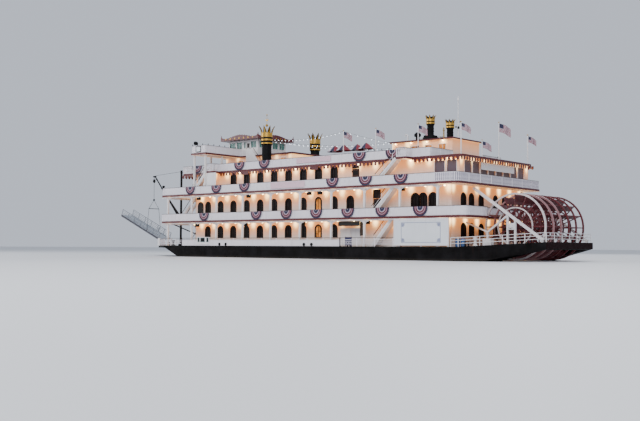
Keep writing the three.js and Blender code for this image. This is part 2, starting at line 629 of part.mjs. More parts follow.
function pilothouseRoof() {
  const [x0, x1] = [PILOTHOUSE.x[0] - PILOT_EAVE, PILOTHOUSE.x[1] + PILOT_EAVE];
  const middle = (x0 + x1) / 2;
  const halfX = (x1 - x0) / 2;
  const halfY = PILOTHOUSE.half + PILOT_EAVE;
  const thick = 0.35 * FT;
  const z = PILOTHOUSE.top + 0.2 * FT;
  const slab = block(x0, x1, -halfY, halfY, PILOTHOUSE.top, PILOTHOUSE.top + HOUSE_ROOF);
  const sides = [-halfY, halfY - thick].map((y) => (
    alongY(crestOutline(halfX), y, y + thick).translate(middle, 0, z)
  ));
  const ends = [x0, x1 - thick].map((x) => alongX(crestOutline(halfY), x, x + thick).translate(0, 0, z));
  add("pilothouse_roof", join([slab, ...sides, ...ends]), red);
}

// Smoke stacks: place, base level, base, shaft and crown radii, then the levels of the crown's neck and
// rim and of its points, and the points' reach beyond the crown.
const STACKS = [
  {
    name: "front_stack", x: 102.8 * FT, y: 15.5 * FT, foot: ROOF_DECK, base: 2.5 * FT, shaft: 2 * FT,
    crown: 2.4 * FT, neck: 53.6 * FT, rim: 58.4 * FT, tip: 61.2 * FT, flare: 1.25 * FT,
  },
  {
    name: "rear_stack", x: 26.4 * FT, y: 6.75 * FT, foot: DECKHOUSE.top + HOUSE_ROOF, base: 1.8 * FT,
    shaft: 1.25 * FT, crown: 1.6 * FT, neck: 56.4 * FT, rim: 58.4 * FT, tip: 59.8 * FT, flare: 0.5 * FT,
  },
];
const STACK_SIDES = 12;
const CROWN_POINTS = 8;

function stack({ x, y, foot, base, shaft, crown, neck, rim, tip, flare }) {
  const lip = crown - 0.25 * FT;
  const body = turned([
    [0, foot + GAP], [base, foot + GAP], [base, foot + FT], [shaft, foot + 1.3 * FT],
    [shaft, neck - 0.5 * FT], [crown, neck], [crown, rim], [lip, rim], [lip, rim - FT], [0, rim - FT],
  ], STACK_SIDES);
  const rise = tip - rim;
  const petal = polygon([
    [lip, rim - 0.2 * FT], [crown, rim - 0.2 * FT], [crown + 0.35 * flare, rim + 0.5 * rise],
    [crown + flare, tip], [crown + 0.05 * flare, rim + 0.6 * rise],
  ]);
  const petals = range(CROWN_POINTS, (i) => alongY(petal, -0.25 * FT, 0.25 * FT)
    .rotateZ((i + 0.5) * ((2 * Math.PI) / CROWN_POINTS)));
  return join([body, ...petals]).translate([x, y, 0]);
}

function roofGear() {
  STACKS.forEach((size) => {
    add(`${size.name}_port`, stack(size), black);
    add(`${size.name}_starboard`, stack({ ...size, y: -size.y }), black);
  });
  const roofTop = DECKHOUSE.top + HOUSE_ROOF + GAP;
  const vent = turned([
    [0, 0], [0.7 * FT, 0], [0.7 * FT, 1.7 * FT], [1.3 * FT, 1.9 * FT], [1.3 * FT, 2.7 * FT],
    [0.6 * FT, 3.4 * FT], [0, 3.5 * FT],
  ], 12).translate(33 * FT, 5.6 * FT, roofTop);
  add("roof_vent", vent, steel);
  const mastX = 18.6 * FT;
  const mast = join([
    bar([mastX, 0, roofTop], [mastX, 0, 67.2 * FT], 0.2 * FT, 8, 0.12 * FT),
    bar([mastX, 0, 65.4 * FT], [mastX, 0, 66.4 * FT], 0.35 * FT),
  ]);
  add("light_mast", mast, white);
}

// Blank boards on the main deck's edge, one on each side.
function signBoards() {
  const bottom = MAIN_DECK + 0.4 * FT;
  const top = DECK_2 - SLAB - 0.1 * FT;
  const edge = HALF_BEAM - 0.1 * FT;
  const feet = [SIGN_X[0] + 0.4 * FT, (SIGN_X[0] + SIGN_X[1]) / 2, SIGN_X[1] - 0.4 * FT];
  bothSides((side, sign) => [add(`sign_board_${side}`, join([
    block(...SIGN_X, sign * (edge - 0.3 * FT), sign * edge, bottom, top),
    ...feet.map((x) => block(x - 0.2 * FT, x + 0.2 * FT, sign * (edge - 0.6 * FT), sign * (edge - 0.2 * FT),
      MAIN_DECK + GAP, top)),
  ]), pale)]);
}

// Stern wheel on its shaft, and the frame that carries each bearing.
const SHAFT_RADIUS = 0.55 * FT;
const JOURNAL_SIDES = 32;
const ARM_HALF = 0.16 * FT;
const FLOAT_HALF = 0.2 * FT;
const RING_THICK = 0.4 * FT;

// A flat ring whose facets lie square to the arms.
function wheelRing(radius, width, sides, y) {
  const ring = new THREE.Shape().absarc(0, 0, radius, 0, 2 * Math.PI);
  ring.holes.push(new THREE.Path().absarc(0, 0, radius - width, 0, 2 * Math.PI, true));
  const flat = extrude(ring, RING_THICK, sides);
  return flat.rotateX(Math.PI / 2).rotateY(Math.PI / sides).translate(0, y + RING_THICK / 2, 0);
}

function paddleWheel() {
  const ringPlaces = range(WHEEL_RINGS, (i) => -WHEEL_HALF + (i * 2 * WHEEL_HALF) / (WHEEL_RINGS - 1));
  const rings = ringPlaces.map((y) => wheelRing(WHEEL_RADIUS, 0.5 * FT, 32, y));
  const armEnd = WHEEL_RADIUS - 0.25 * FT;
  const arms = ringPlaces.flatMap((y) => range(WHEEL_ARMS / 2, (i) => (
    block(-armEnd, armEnd, y - 0.13 * FT, y + 0.13 * FT, -ARM_HALF, ARM_HALF)
      .rotateY((i * 2 * Math.PI) / WHEEL_ARMS)
  )));
  const floats = range(WHEEL_ARMS, (i) => (
    block(WHEEL_RADIUS - 3 * FT, WHEEL_RADIUS - 0.7 * FT, -WHEEL_HALF - 0.1 * FT, WHEEL_HALF + 0.1 * FT,
      -FLOAT_HALF, FLOAT_HALF).rotateY((i * 2 * Math.PI) / WHEEL_ARMS)
  ));
  const bore = bar([0, -HALF_BEAM, 0], [0, HALF_BEAM, 0], SHAFT_RADIUS + GAP, 16);
  const hubs = ringPlaces.map((y) => bar([0, y - 0.4 * FT, 0], [0, y + 0.4 * FT, 0], 1.3 * FT, 8));
  const wheel = cut(join([...rings, ...arms, ...floats, ...hubs]), [bore]).translate([WHEEL_X, 0, WHEEL_Z]);
  add("paddle_wheel", wheel, red);
  const journal = (y) => bar([WHEEL_X, y - 0.9 * FT, WHEEL_Z], [WHEEL_X, y + 0.9 * FT, WHEEL_Z],
    SHAFT_RADIUS, JOURNAL_SIDES);
  const shaft = bar([WHEEL_X, -BEARING_Y, WHEEL_Z], [WHEEL_X, BEARING_Y, WHEEL_Z], SHAFT_RADIUS, 16);
  add("wheel_shaft", join([shaft, journal(-BEARING_Y), journal(BEARING_Y)]), steel);
}

const FRAME_POST = 1.4 * FT; // each post's distance ahead of or behind the shaft
const STRUT = { head: [2 * FT, 31.2 * FT], foot: [-24.2 * FT, 13 * FT] };
const BRACE_VERTEX = [-3.6 * FT, 15.9 * FT];

function wheelFrame(sign) {
  const y = sign * BEARING_Y;
  const strutAt = (x) => STRUT.foot[1]
    + ((x - STRUT.foot[0]) * (STRUT.head[1] - STRUT.foot[1])) / (STRUT.head[0] - STRUT.foot[0]);
  const deckAt = (x) => mainDeckAt(x) + GAP;
  const post = (x, top, half = 0.3 * FT) => block(x - half, x + half,
    y - 0.35 * FT, y + 0.35 * FT, deckAt(x - half), top);
  const [foreX, aftX] = [WHEEL_X + FRAME_POST, WHEEL_X - FRAME_POST];
  const body = join([
    beam(STRUT.head, STRUT.foot, y, 0.9 * FT, 0.7 * FT),
    post(foreX, strutAt(foreX)),
    post(aftX, strutAt(aftX)),
    post(BRACE_VERTEX[0], BRACE_VERTEX[1]),
    post(STRUT.foot[0] + 0.4 * FT, STRUT.foot[1] + 0.3 * FT, 0.4 * FT),
    beam(BRACE_VERTEX, [foreX, strutAt(foreX) - 0.6 * FT], y, 0.6 * FT, 0.6 * FT),
    beam(BRACE_VERTEX, [4.9 * FT, 19.3 * FT], y, 0.5 * FT, 0.5 * FT),
    block(aftX, foreX, y - 0.55 * FT, y + 0.55 * FT, WHEEL_Z - 1.1 * FT, WHEEL_Z + 1.1 * FT),
  ]);
  const boreRadius = (SHAFT_RADIUS + GAP) / Math.cos(Math.PI / JOURNAL_SIDES);
  return cut(body, [bar([WHEEL_X, y - FT, WHEEL_Z], [WHEEL_X, y + FT, WHEEL_Z], boreRadius, JOURNAL_SIDES)]);
}

// Bow gear: mast, luffing boom with its fall and spreader, and the landing stage.
const HEEL_SLOT = 0.45 * FT; // half the width between the cheeks that hold the boom's heel
const HEAD_SLOT = 0.22 * FT; // the same at the boom's head, for the eye of the fall
const FALL_X = BOOM_HEAD_X + 0.7 * FT;

function bowMast() {
  const base = bar([MAST_X, 0, MAIN_DECK + GAP], [MAST_X, 0, MAIN_DECK + 0.8 * FT], 1.2 * FT, 12);
  const pole = bar([MAST_X, 0, MAIN_DECK + 0.4 * FT], [MAST_X, 0, MAST_TOP], MAST_RADIUS, 12);
  const cheeks = [-1, 1].map((sign) => block(MAST_X, BOOM_HEEL_X + 0.5 * FT, sign * HEEL_SLOT,
    sign * (HEEL_SLOT + 0.3 * FT), BOOM_HEEL_Z - 0.6 * FT, BOOM_HEEL_Z + 0.6 * FT));
  add("bow_mast", join([base, pole, ...cheeks]), black);
}

function stageBoom() {
  const spar = bar([BOOM_HEEL_X + 0.35 * FT, 0, BOOM_HEEL_Z + 0.4 * FT], [BOOM_HEAD_X, 0, BOOM_HEAD_Z],
    0.38 * FT, 10, 0.3 * FT);
  const heelHalf = HEEL_SLOT - GAP;
  const heel = bar([BOOM_HEEL_X, -heelHalf, BOOM_HEEL_Z], [BOOM_HEEL_X, heelHalf, BOOM_HEEL_Z],
    0.55 * FT, 12);
  const head = block(BOOM_HEAD_X - 0.4 * FT, FALL_X - 0.35 * FT, -0.5 * FT, 0.5 * FT,
    BOOM_HEAD_Z - 0.35 * FT, BOOM_HEAD_Z + 0.35 * FT);
  const cheeks = [-1, 1].map((sign) => block(BOOM_HEAD_X, FALL_X + 0.3 * FT,
    sign * HEAD_SLOT, sign * 0.5 * FT, BOOM_HEAD_Z - 0.35 * FT, BOOM_HEAD_Z + 0.35 * FT));
  add("stage_boom", join([spar, heel, head, ...cheeks]), black);
}

const SPREADER_Z = 29.2 * FT;
const SPREADER_HALF = 3.2 * FT;
const SLING_Y = 4.2 * FT; // where each sling reaches its lug, clear of the stage's rail
const FALL_APEX = 4.4 * FT; // height of the bridle's apex over the spreader

// The pin of each lug, in the stage's own frame, right under the boom's head
const LUG = { above: 1.9 * FT, radius: 0.15 * FT };
LUG.along = (FALL_X - STAGE_HEEL_X + LUG.above * Math.sin(STAGE_ANGLE)) / Math.cos(STAGE_ANGLE);
const SLING_FOOT = STAGE_HEEL_Z + LUG.along * Math.sin(STAGE_ANGLE) + LUG.above * Math.cos(STAGE_ANGLE)
  + LUG.radius + GAP;

function stageFall() {
  const rope = 0.09 * FT;
  const apex = SPREADER_Z + FALL_APEX;
  const eye = SPREADER_HALF - 0.1 * FT;
  const parts = [
    bar([FALL_X, -HEAD_SLOT + GAP, BOOM_HEAD_Z], [FALL_X, HEAD_SLOT - GAP, BOOM_HEAD_Z], 0.25 * FT),
    bar([FALL_X, 0, BOOM_HEAD_Z], [FALL_X, 0, apex], rope, 6),
    block(FALL_X - 0.3 * FT, FALL_X + 0.3 * FT, -0.3 * FT, 0.3 * FT,
      BOOM_HEAD_Z - 3.1 * FT, BOOM_HEAD_Z - 1.3 * FT),
    block(FALL_X - 0.2 * FT, FALL_X + 0.2 * FT, -0.25 * FT, 0.25 * FT, apex - 0.5 * FT, apex + 0.5 * FT),
    block(FALL_X - 0.15 * FT, FALL_X + 0.15 * FT, -SPREADER_HALF, SPREADER_HALF, SPREADER_Z - 0.15 * FT,
      SPREADER_Z + 0.15 * FT),
    ...[-1, 1].flatMap((sign) => [
      bar([FALL_X, 0, apex], [FALL_X, sign * eye, SPREADER_Z], rope, 6),
      bar([FALL_X, sign * eye, SPREADER_Z], [FALL_X, sign * SLING_Y, SLING_FOOT + rope], rope, 6),
    ]),
  ];
  add("stage_fall", join(parts), black);
}

// The stage is built level with its heel at the origin, then raised to its stowed angle.
const STAGE_BAYS = 6;
const STAGE_SLOT = STAGE_HALF + 0.1 * FT; // half the width between the cheeks that hold the stage's heel

function landingStage() {
  const deck = block(0.3 * FT, STAGE_LENGTH, -STAGE_HALF, STAGE_HALF, -0.15 * FT, 0.15 * FT);
  const railTop = 3.2 * FT;
  const parts = [deck, ...[-1, 1].flatMap((sign) => {
    const y = sign * (STAGE_HALF - 0.15 * FT);
    const along = (z, half) => block(0.6 * FT, STAGE_LENGTH, y - 0.12 * FT, y + 0.12 * FT,
      z - half, z + half);
    return [
      block(0, STAGE_LENGTH, sign * (STAGE_HALF - 0.35 * FT), sign * STAGE_HALF, -0.5 * FT, 0.45 * FT),
      block(LUG.along - 0.2 * FT, LUG.along + 0.2 * FT, sign * (STAGE_HALF - 0.1 * FT),
        sign * (STAGE_HALF + 0.3 * FT), -0.4 * FT, LUG.above + 0.3 * FT),
      bar([LUG.along, sign * STAGE_HALF, LUG.above], [LUG.along, sign * (SLING_Y + LUG.radius), LUG.above],
        LUG.radius),
      along(railTop, 0.1 * FT),
      along(railTop / 2, 0.06 * FT),
      ...range(STAGE_BAYS + 1, (i) => {
        const x = 0.8 * FT + (i * (STAGE_LENGTH - 1 * FT)) / STAGE_BAYS;
        return block(x - 0.1 * FT, x + 0.1 * FT, y - 0.1 * FT, y + 0.1 * FT, 0, railTop);
      }),
    ];
  })];
  const pinHalf = STAGE_SLOT - GAP;
  const pin = bar([0, -pinHalf, 0], [0, pinHalf, 0], 0.3 * FT, 12);
  const mesh = add("landing_stage", join([...parts, pin]), steel);
  mesh.rotation.y = -STAGE_ANGLE;
  mesh.position.set(STAGE_HEEL_X, 0, STAGE_HEEL_Z);
}

// A sill across the tip of the deck, with the two cheeks that hold the stage's heel.
function bowGuard() {
  const [foot, top] = [MAIN_DECK + GAP, MAIN_DECK + 0.7 * FT];
  const outside = STAGE_SLOT + 0.5 * FT;
  const sill = block(STAGE_HEEL_X - 0.9 * FT, STAGE_HEEL_X + 0.9 * FT, -outside, outside, foot, top);
  const cheeks = [-1, 1].map((sign) => block(STAGE_HEEL_X - 0.7 * FT, STAGE_HEEL_X + 0.7 * FT,
    sign * STAGE_SLOT, sign * outside, top - 0.2 * FT, STAGE_HEEL_Z + 0.6 * FT));
  add("bow_guard", join([sill, ...cheeks]), black);
}

// Doors: name, hinge side and leading side in X, which way the door opens (1 outwards, -1 inwards), deck
// level, then the side of the boat, the wall face that carries the hinges and the height.
const DOORS = [
  ...bothSides((side, sign) => [
    { name: `boarding_door_aft_${side}`, x: [45 * FT, 50 * FT], opens: 1, deck: MAIN_DECK },
    { name: `boarding_door_fore_${side}`, x: [55 * FT, 50 * FT], opens: 1, deck: MAIN_DECK },
    { name: `deck_2_door_${side}`, x: [39.6 * FT, 36 * FT], opens: -1, deck: DECK_2 },
    { name: `deck_3_door_${side}`, x: [49.4 * FT, 46 * FT], opens: 1, deck: DECK_3 },
  ].map((place) => ({ ...place, sign, face: place.opens > 0 ? CABIN_HALF : CABIN_HALF - WALL }))),
  {
    name: "pilothouse_door", x: PILOT_DOOR_X, opens: -1, deck: BRIDGE_DECK,
    sign: 1, face: PILOTHOUSE.half - WALL, height: PILOT_DOOR_HEIGHT,
  },
];
const HINGE_RADIUS = 0.12 * FT;
const HINGE_HALF = 0.3 * FT;

// A plain leaf with two barrel hinges that lie against the wall beside it.
function door({ name, x: [hingeX, leadX], sign, face, opens, deck, height = DOOR_HEIGHT }) {
  const along = Math.sign(leadX - hingeX);
  const [bottom, top] = [deck + DOOR_FOOT, deck + height - DOOR_CLEARANCE];
  const leaf = block(hingeX + along * DOOR_CLEARANCE, leadX - along * DOOR_CLEARANCE,
    sign * face, sign * (face - opens * DOOR_THICKNESS), bottom, top);
  const axisY = sign * (face + opens * (HINGE_RADIUS + GAP));
  const hinges = [bottom + FT, top - FT].flatMap((z) => [
    bar([hingeX, axisY, z - HINGE_HALF], [hingeX, axisY, z + HINGE_HALF], HINGE_RADIUS),
    block(hingeX, hingeX + along * 0.4 * FT, axisY, sign * (face - opens * DOOR_THICKNESS / 2),
      z - HINGE_HALF, z + HINGE_HALF),
  ]);
  add(name, join([leaf, ...hinges]), maroon);
}

add("hull", hull(), black);
bowGuard();
["port", "starboard"].forEach((side, i) => add(`rudder_${side}`, rudder(1 - 2 * i), black));
decks();
SALOONS.forEach(saloonWalls);
columns("main_deck_columns", MAIN_DECK, DECK_2);
columns("deck_2_columns", DECK_2, DECK_3);
bridge();
upperHouses();
pilothouseRoof();
railings();
roofGear();
signBoards();
paddleWheel();
bothSides((side, sign) => [add(`wheel_frame_${side}`, wheelFrame(sign), white)]);
bowMast();
stageBoom();
stageFall();
landingStage();
DOORS.forEach(door);
add("engine", block(14 * FT, 30 * FT, -4.5 * FT, 4.5 * FT, MAIN_DECK + GAP, MAIN_DECK + 6 * FT), steel);

boat.updateMatrixWorld(true);
const box = new THREE.Box3().setFromObject(boat, true);
boat.position.x = -(box.min.x + box.max.x) / 2;

export default boat;
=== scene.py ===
"""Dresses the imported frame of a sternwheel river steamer, a scale model at half size.

Lengths are feet of the full-size boat: X runs forward from deck 3's aft edge, Y to port and Z up from the
flat bottom of the hull. to_model turns them into the frame's metres.
"""

import logging
from collections.abc import Callable, Iterable, Sequence
from dataclasses import dataclass
from enum import Enum
from functools import partialmethod
from itertools import product
from math import ceil, copysign, cos, floor, pi, radians, sin, sqrt, tan

import bpy
from mathutils import Matrix, Quaternion, Vector


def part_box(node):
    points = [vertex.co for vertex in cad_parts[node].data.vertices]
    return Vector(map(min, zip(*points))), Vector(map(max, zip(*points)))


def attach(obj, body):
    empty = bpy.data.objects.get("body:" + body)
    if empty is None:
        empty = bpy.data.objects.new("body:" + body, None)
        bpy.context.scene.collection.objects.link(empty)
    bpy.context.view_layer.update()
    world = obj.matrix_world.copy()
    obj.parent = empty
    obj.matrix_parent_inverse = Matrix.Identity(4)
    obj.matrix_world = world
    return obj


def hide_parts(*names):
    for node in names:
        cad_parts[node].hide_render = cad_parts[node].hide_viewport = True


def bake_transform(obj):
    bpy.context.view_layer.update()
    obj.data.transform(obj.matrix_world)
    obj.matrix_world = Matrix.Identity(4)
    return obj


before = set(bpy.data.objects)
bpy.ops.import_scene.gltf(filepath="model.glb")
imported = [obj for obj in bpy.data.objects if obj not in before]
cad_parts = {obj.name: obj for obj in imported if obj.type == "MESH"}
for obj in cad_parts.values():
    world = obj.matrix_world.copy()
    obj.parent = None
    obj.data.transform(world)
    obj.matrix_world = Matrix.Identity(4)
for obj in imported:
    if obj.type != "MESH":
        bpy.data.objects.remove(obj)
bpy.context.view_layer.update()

LOG = logging.getLogger("steamer")
FT = 0.1524  # metres on the model for one foot of the full-size boat
TRANSOM_X = -25.8
SHIFT_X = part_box("hull")[0].x - TRANSOM_X * FT

Point = Sequence[float]
Outline = Sequence[Point]
Span = tuple[float, float]
Colour = tuple[float, float, float]
Socket = bpy.types.NodeSocket

# Levels and plan, in feet
WATERLINE = 6
MAIN_DECK, DECK_2, DECK_3, ROOF_DECK, BRIDGE_DECK = 10.8, 21.4, 32.9, 42.4, 50.4
SLAB = 0.75
HALF_BEAM = 30.6
CABIN_HALF, CABIN_AFT_X, CABIN_FRONT_X, LOUNGE_AFT_X = 24.6, 6, 136.5, 2.9
DECK_FRONT_X = 154.5
ROOF_AFT_X, ROOF_FRONT_X, ROOF_HALF = 1.4, 145.5, 25.4
RAIL_HEIGHT, RAIL_INSET = 3.25, 0.35
RAIL_Y = HALF_BEAM - RAIL_INSET
COLUMN_PITCH, FIRST_COLUMN_X, COLUMN_Y = 15.7, 8.4, 29.4
WINDOW_PITCH, FIRST_WINDOW_X = 7.85, 58.1
FIRST_LAMP_X = FIRST_WINDOW_X - WINDOW_PITCH / 2
WHEEL_X, WHEEL_Z, WHEEL_RADIUS, WHEEL_HALF = -12.6, 17.7, 11.4, 14.4
BEARING_Y = 16.9
STAIR_Y, STAIR_HALF = 27.6, 1.4
UP = Vector((0, 0, 1))
SIDES = {"port": 1, "starboard": -1}
SIGNS = (1, -1)
EULER = 2.718  # base of the lamps' falling light


def to_model(point: Point) -> Vector:
    """Returns the frame's place, in metres, of a point in feet of the full-size boat."""
    return Vector((point[0] * FT + SHIFT_X, point[1] * FT, point[2] * FT))


# Finishes


class Recipe:
    """Builds the node tree of one procedural material."""

    def __init__(self, name: str) -> None:
        """Starts a material whose shader is a Principled BSDF.

        Args:
            name: The material's name.
        """
        self.material = bpy.data.materials.new(name)
        self.material.use_nodes = True
        self.tree = self.material.node_tree
        self.shader = self.tree.nodes["Principled BSDF"]

    def join(self, source: object, socket: Socket) -> None:
        """Fills an input socket.

        Args:
            source: A socket to link, or a plain value; a colour is made opaque.
            socket: The input socket.
        """
        if isinstance(source, Socket):
            self.tree.links.new(source, socket)
        else:
            socket.default_value = (*source, 1) if socket.type == "RGBA" else source

    def set(self, **values: object) -> None:
        """Fills the shader's own sockets, whose names are given with underscores."""
        for key, value in values.items():
            self.join(value, self.shader.inputs[key.replace("_", " ")])

    def node(self, kind: str, output: str | int, inputs: dict[str | int, object], **values: object) -> Socket:
        """Adds a node.

        Args:
            kind: The end of its type's name.
            output: The output that is wanted.
            inputs: A socket or a plain value for each input.
            values: Properties of the node, such as an operation.

        Returns:
            The output.
        """
        made = self.tree.nodes.new(f"ShaderNode{kind}")
        for key, value in values.items():
            setattr(made, key, value)
        for key, value in inputs.items():
            self.join(value, made.inputs[key])
        return made.outputs[output]

    def noise(self, scale: float, detail: float = 3.0, stretch: Point = (1, 1, 1)) -> Socket:
        """Adds a noise between 0 and 1.

        Args:
            scale: Features per metre.
            detail: Octaves of the noise.
            stretch: Scale along each axis, to draw the noise out.

        Returns:
            The noise's value.
        """
        place = self.node("TexCoord", "Object", {})
        place = self.node("Mapping", "Vector", {"Vector": place, "Scale": stretch})
        return self.node("TexNoise", "Fac", {"Vector": place, "Scale": scale, "Detail": detail})

    def maths(self, operation: str, first: object, second: object = 0) -> Socket:
        """Returns the result of a Math node on sockets or numbers."""
        return self.node("Math", 0, {0: first, 1: second}, operation=operation)

    add, subtract = partialmethod(maths, "ADD"), partialmethod(maths, "SUBTRACT")
    multiply, divide = partialmethod(maths, "MULTIPLY"), partialmethod(maths, "DIVIDE")

    def spread(self, value: Socket, low: float, high: float, bottom: float = 0.0, top: float = 1.0) -> Socket:
        """Maps a value onto another range and holds it there.

        Args:
            value: The value.
            low: Value that becomes bottom.
            high: Value that becomes top.
            bottom: First end of the new range.
            top: Second end of the new range.

        Returns:
            The mapped value.
        """
        ends = {"From Min": low, "From Max": high, "To Min": bottom, "To Max": top}
        return self.node("MapRange", "Result", {"Value": value, **ends})

    def patches(self, low: float, high: float, amount: float, *noise: object) -> Socket:
        """Returns a noise's patches, from none at its low value to an amount at its high one."""
        return self.spread(self.noise(*noise), low, high, 0, amount)

    def uneven(self, roughness: float, less: float, more: float, *noise: object) -> Socket:
        """Returns a roughness that varies with a noise, from somewhat less to somewhat more."""
        return self.spread(self.noise(*noise), 0.3, 0.7, roughness - less, roughness + more)

    def mix(self, factor: object, first: object, second: object) -> Socket:
        """Returns two colours mixed, with a factor for the second one's share."""
        return self.node("Mix", "Result", {"Factor": factor, "A": first, "B": second}, data_type="RGBA")

    def part(self, output: str, index: int) -> Socket:
        """Returns X, Y or Z (0 to 2) of the place in metres ("Object") or of the surface's "Normal"."""
        return self.node("SeparateXYZ", index, {0: self.node("TexCoord", output, {})})

    def bump(self, height: Socket, distance: float, strength: float = 1.0) -> None:
        """Adds a bump on top of any earlier one.

        Args:
            height: The bump's height, between 0 and 1.
            distance: Its full height in metres.
            strength: Its weight.
        """
        normal = self.shader.inputs["Normal"]
        inputs = {"Height": height, "Distance": distance, "Strength": strength}
        if normal.is_linked:
            inputs["Normal"] = normal.links[0].from_socket
        self.join(self.node("Bump", "Normal", inputs), normal)

    def seams(self, coordinate: Socket, pitch: float, width: float) -> Socket:
        """Marks the seams of a row of boards or plates.

        Args:
            coordinate: Place across the seams, in metres.
            pitch: Width of a board, in feet.
            width: Width of a seam, in feet.

        Returns:
            1 on a seam, 0 between seams.
        """
        turn = self.maths("FRACT", self.divide(coordinate, pitch * FT))
        near = self.maths("ABSOLUTE", self.subtract(turn, 0.5))
        return self.spread(near, 0.5 - width / pitch, 0.5 - 0.4 * width / pitch)

    def lamps(self, axis: int, first: float, ceiling: float, glow: float, tint: float = 0.85) -> None:
        """Paints the light of lamps in a row under a ceiling: hot near each, orange all along the ceiling.

        Args:
            axis: 0 for a row along X, 1 for one along Y.
            first: Place of one lamp on that axis, in feet.
            ceiling: Height of the lamps, in feet.
            glow: Strength of the light.
            tint: How far the paint's base colour takes the light's orange, as painted light.
        """
        pitch, start = WINDOW_PITCH * FT, first * FT + (0 if axis else SHIFT_X)
        turns = self.divide(self.subtract(self.part("Object", axis), start), pitch)
        along = self.multiply(self.subtract(turns, self.maths("ROUND", turns)), pitch)
        below = self.subtract(self.part("Object", 2), (ceiling - 0.6) * FT)
        lights = []
        for wide, tall, share in ((1.3, 1.9, 3.6), (60, 4.6, 0.62)):
            near = self.add(self.divide(self.multiply(along, along), (wide * FT) ** 2),
                            self.divide(self.multiply(below, below), (tall * FT) ** 2))
            fall = self.maths("POWER", EULER, self.multiply(near, -1))
            lights.append(self.multiply(fall, share * glow))
        light = self.mix(self.spread(lights[0], 0.1, 1.6), (1, 0.34, 0.05), (1, 0.68, 0.30))
        self.set(Emission_Color=light, Emission_Strength=self.add(*lights))
        # Warms the base colour with the lamps' orange: painted light, not paint.
        if tint:
            base = self.shader.inputs["Base Color"]
            wash = self.spread(lights[1], 0.05, 0.6, 0, tint)
            self.join(self.mix(wash, base.links[0].from_socket, (0.9, 0.38, 0.13)), base)


@dataclass(frozen=True)
class Finish:
    """A surface finish: its colour and gloss, and the record's slot of the pieces that have it."""

    name: str
    colour: Colour
    roughness: float = 0.5
    metallic: float = 0.0
    slot: str = "house_white"

    def material(self) -> bpy.types.Material:
        """Makes the finish's material, the first time it is asked for.

        Returns:
            The material.
        """
        found = bpy.data.materials.get(self.name)
        if found:
            return found
        recipe = Recipe(self.name)
        recipe.set(Metallic=self.metallic)
        self.compose(recipe)
        return recipe.material

    def compose(self, recipe: Recipe) -> None:
        """Fills the node tree."""
        raise NotImplementedError

    def shade(self, share: float) -> Colour:
        """Returns a darker shade of the colour."""
        return tuple(share * c for c in self.colour)


@dataclass(frozen=True)
class Paint(Finish):
    """Brushed paint that has faded a little, with streaks of dirt and worn spots."""

    worn: Colour = (0.2, 0.18, 0.16)
    wear: float = 0.25
    coat: float = 0.2

    def compose(self, recipe: Recipe) -> None:
        """Mixes fading, rain streaks, worn spots and brush marks.

        Args:
            recipe: The material under construction.
        """
        faded = recipe.mix(recipe.noise(1.3, 2), self.colour, self.shade(0.86))
        streaks = recipe.patches(0.52, 0.78, self.wear, 2.6, 5, (3, 3, 0.35))
        spots = recipe.patches(0.68, 0.8, self.wear, 38, 4)
        recipe.set(Base_Color=recipe.mix(recipe.maths("MAXIMUM", streaks, spots), faded, self.worn),
                   Roughness=recipe.uneven(self.roughness, 0.08, 0.12, 9, 4), Coat_Weight=self.coat,
                   Coat_Roughness=0.25, Specular_IOR_Level=0.5 if self.coat else 0.12)
        recipe.bump(recipe.noise(60, 3, (1, 1, 0.25)), 0.002, 0.3)


@dataclass(frozen=True)
class TwoTone(Finish):
    """Steelwork dark on the faces that look to either side, and pale on its walkways, ends and undersides."""

    pale: Colour = (0.42, 0.47, 0.53)

    def compose(self, recipe: Recipe) -> None:
        """Chooses dark or pale by the way the surface faces, and adds scuffs.

        Args:
            recipe: The material under construction.
        """
        side = recipe.spread(recipe.maths("ABSOLUTE", recipe.part("Normal", 1)), 0.5, 0.6)
        scuff = recipe.patches(0.5, 0.75, 0.35, 12, 5)
        recipe.set(Base_Color=recipe.mix(scuff, recipe.mix(side, self.pale, self.colour), (0.12, 0.1, 0.09)),
                   Roughness=recipe.spread(scuff, 0, 0.35, self.roughness, self.roughness + 0.15))
        recipe.bump(recipe.noise(60), 0.002, 0.3)


@dataclass(frozen=True)
class LitWall(Finish):
    """White painted boarding, with the warm light of the lamps under the deck above it painted on."""

    ceiling: float = 20.2
    axis: int = 0
    first_lamp: float = 54.2
    glow: float = 1.0

    def compose(self, recipe: Recipe) -> None:
        """Mixes paint, board seams and the lamps' warm light, which is painted on as glow and a warm tint.

        Args:
            recipe: The material under construction.
        """
        seams = recipe.seams(recipe.part("Object", 2), 0.55, 0.06)
        faded = recipe.mix(recipe.noise(1.1, 3), self.colour, self.shade(0.88))
        grime = recipe.patches(0.5, 0.8, 0.3, 3, 5, (2.5, 2.5, 0.3))
        soiled = recipe.mix(grime, faded, (0.45, 0.4, 0.34))
        recipe.set(Base_Color=recipe.mix(recipe.multiply(seams, 0.35), soiled, (0.3, 0.27, 0.24)),
                   Roughness=recipe.uneven(self.roughness, 0.1, 0.1, 12, 3))
        recipe.bump(recipe.subtract(1, seams), 0.004, 0.6)
        recipe.bump(recipe.noise(70, 2), 0.001, 0.25)
        # The lamps' light is painted on the wall as glow and a warm tint of its colour.
        recipe.lamps(self.axis, self.first_lamp, self.ceiling, self.glow)


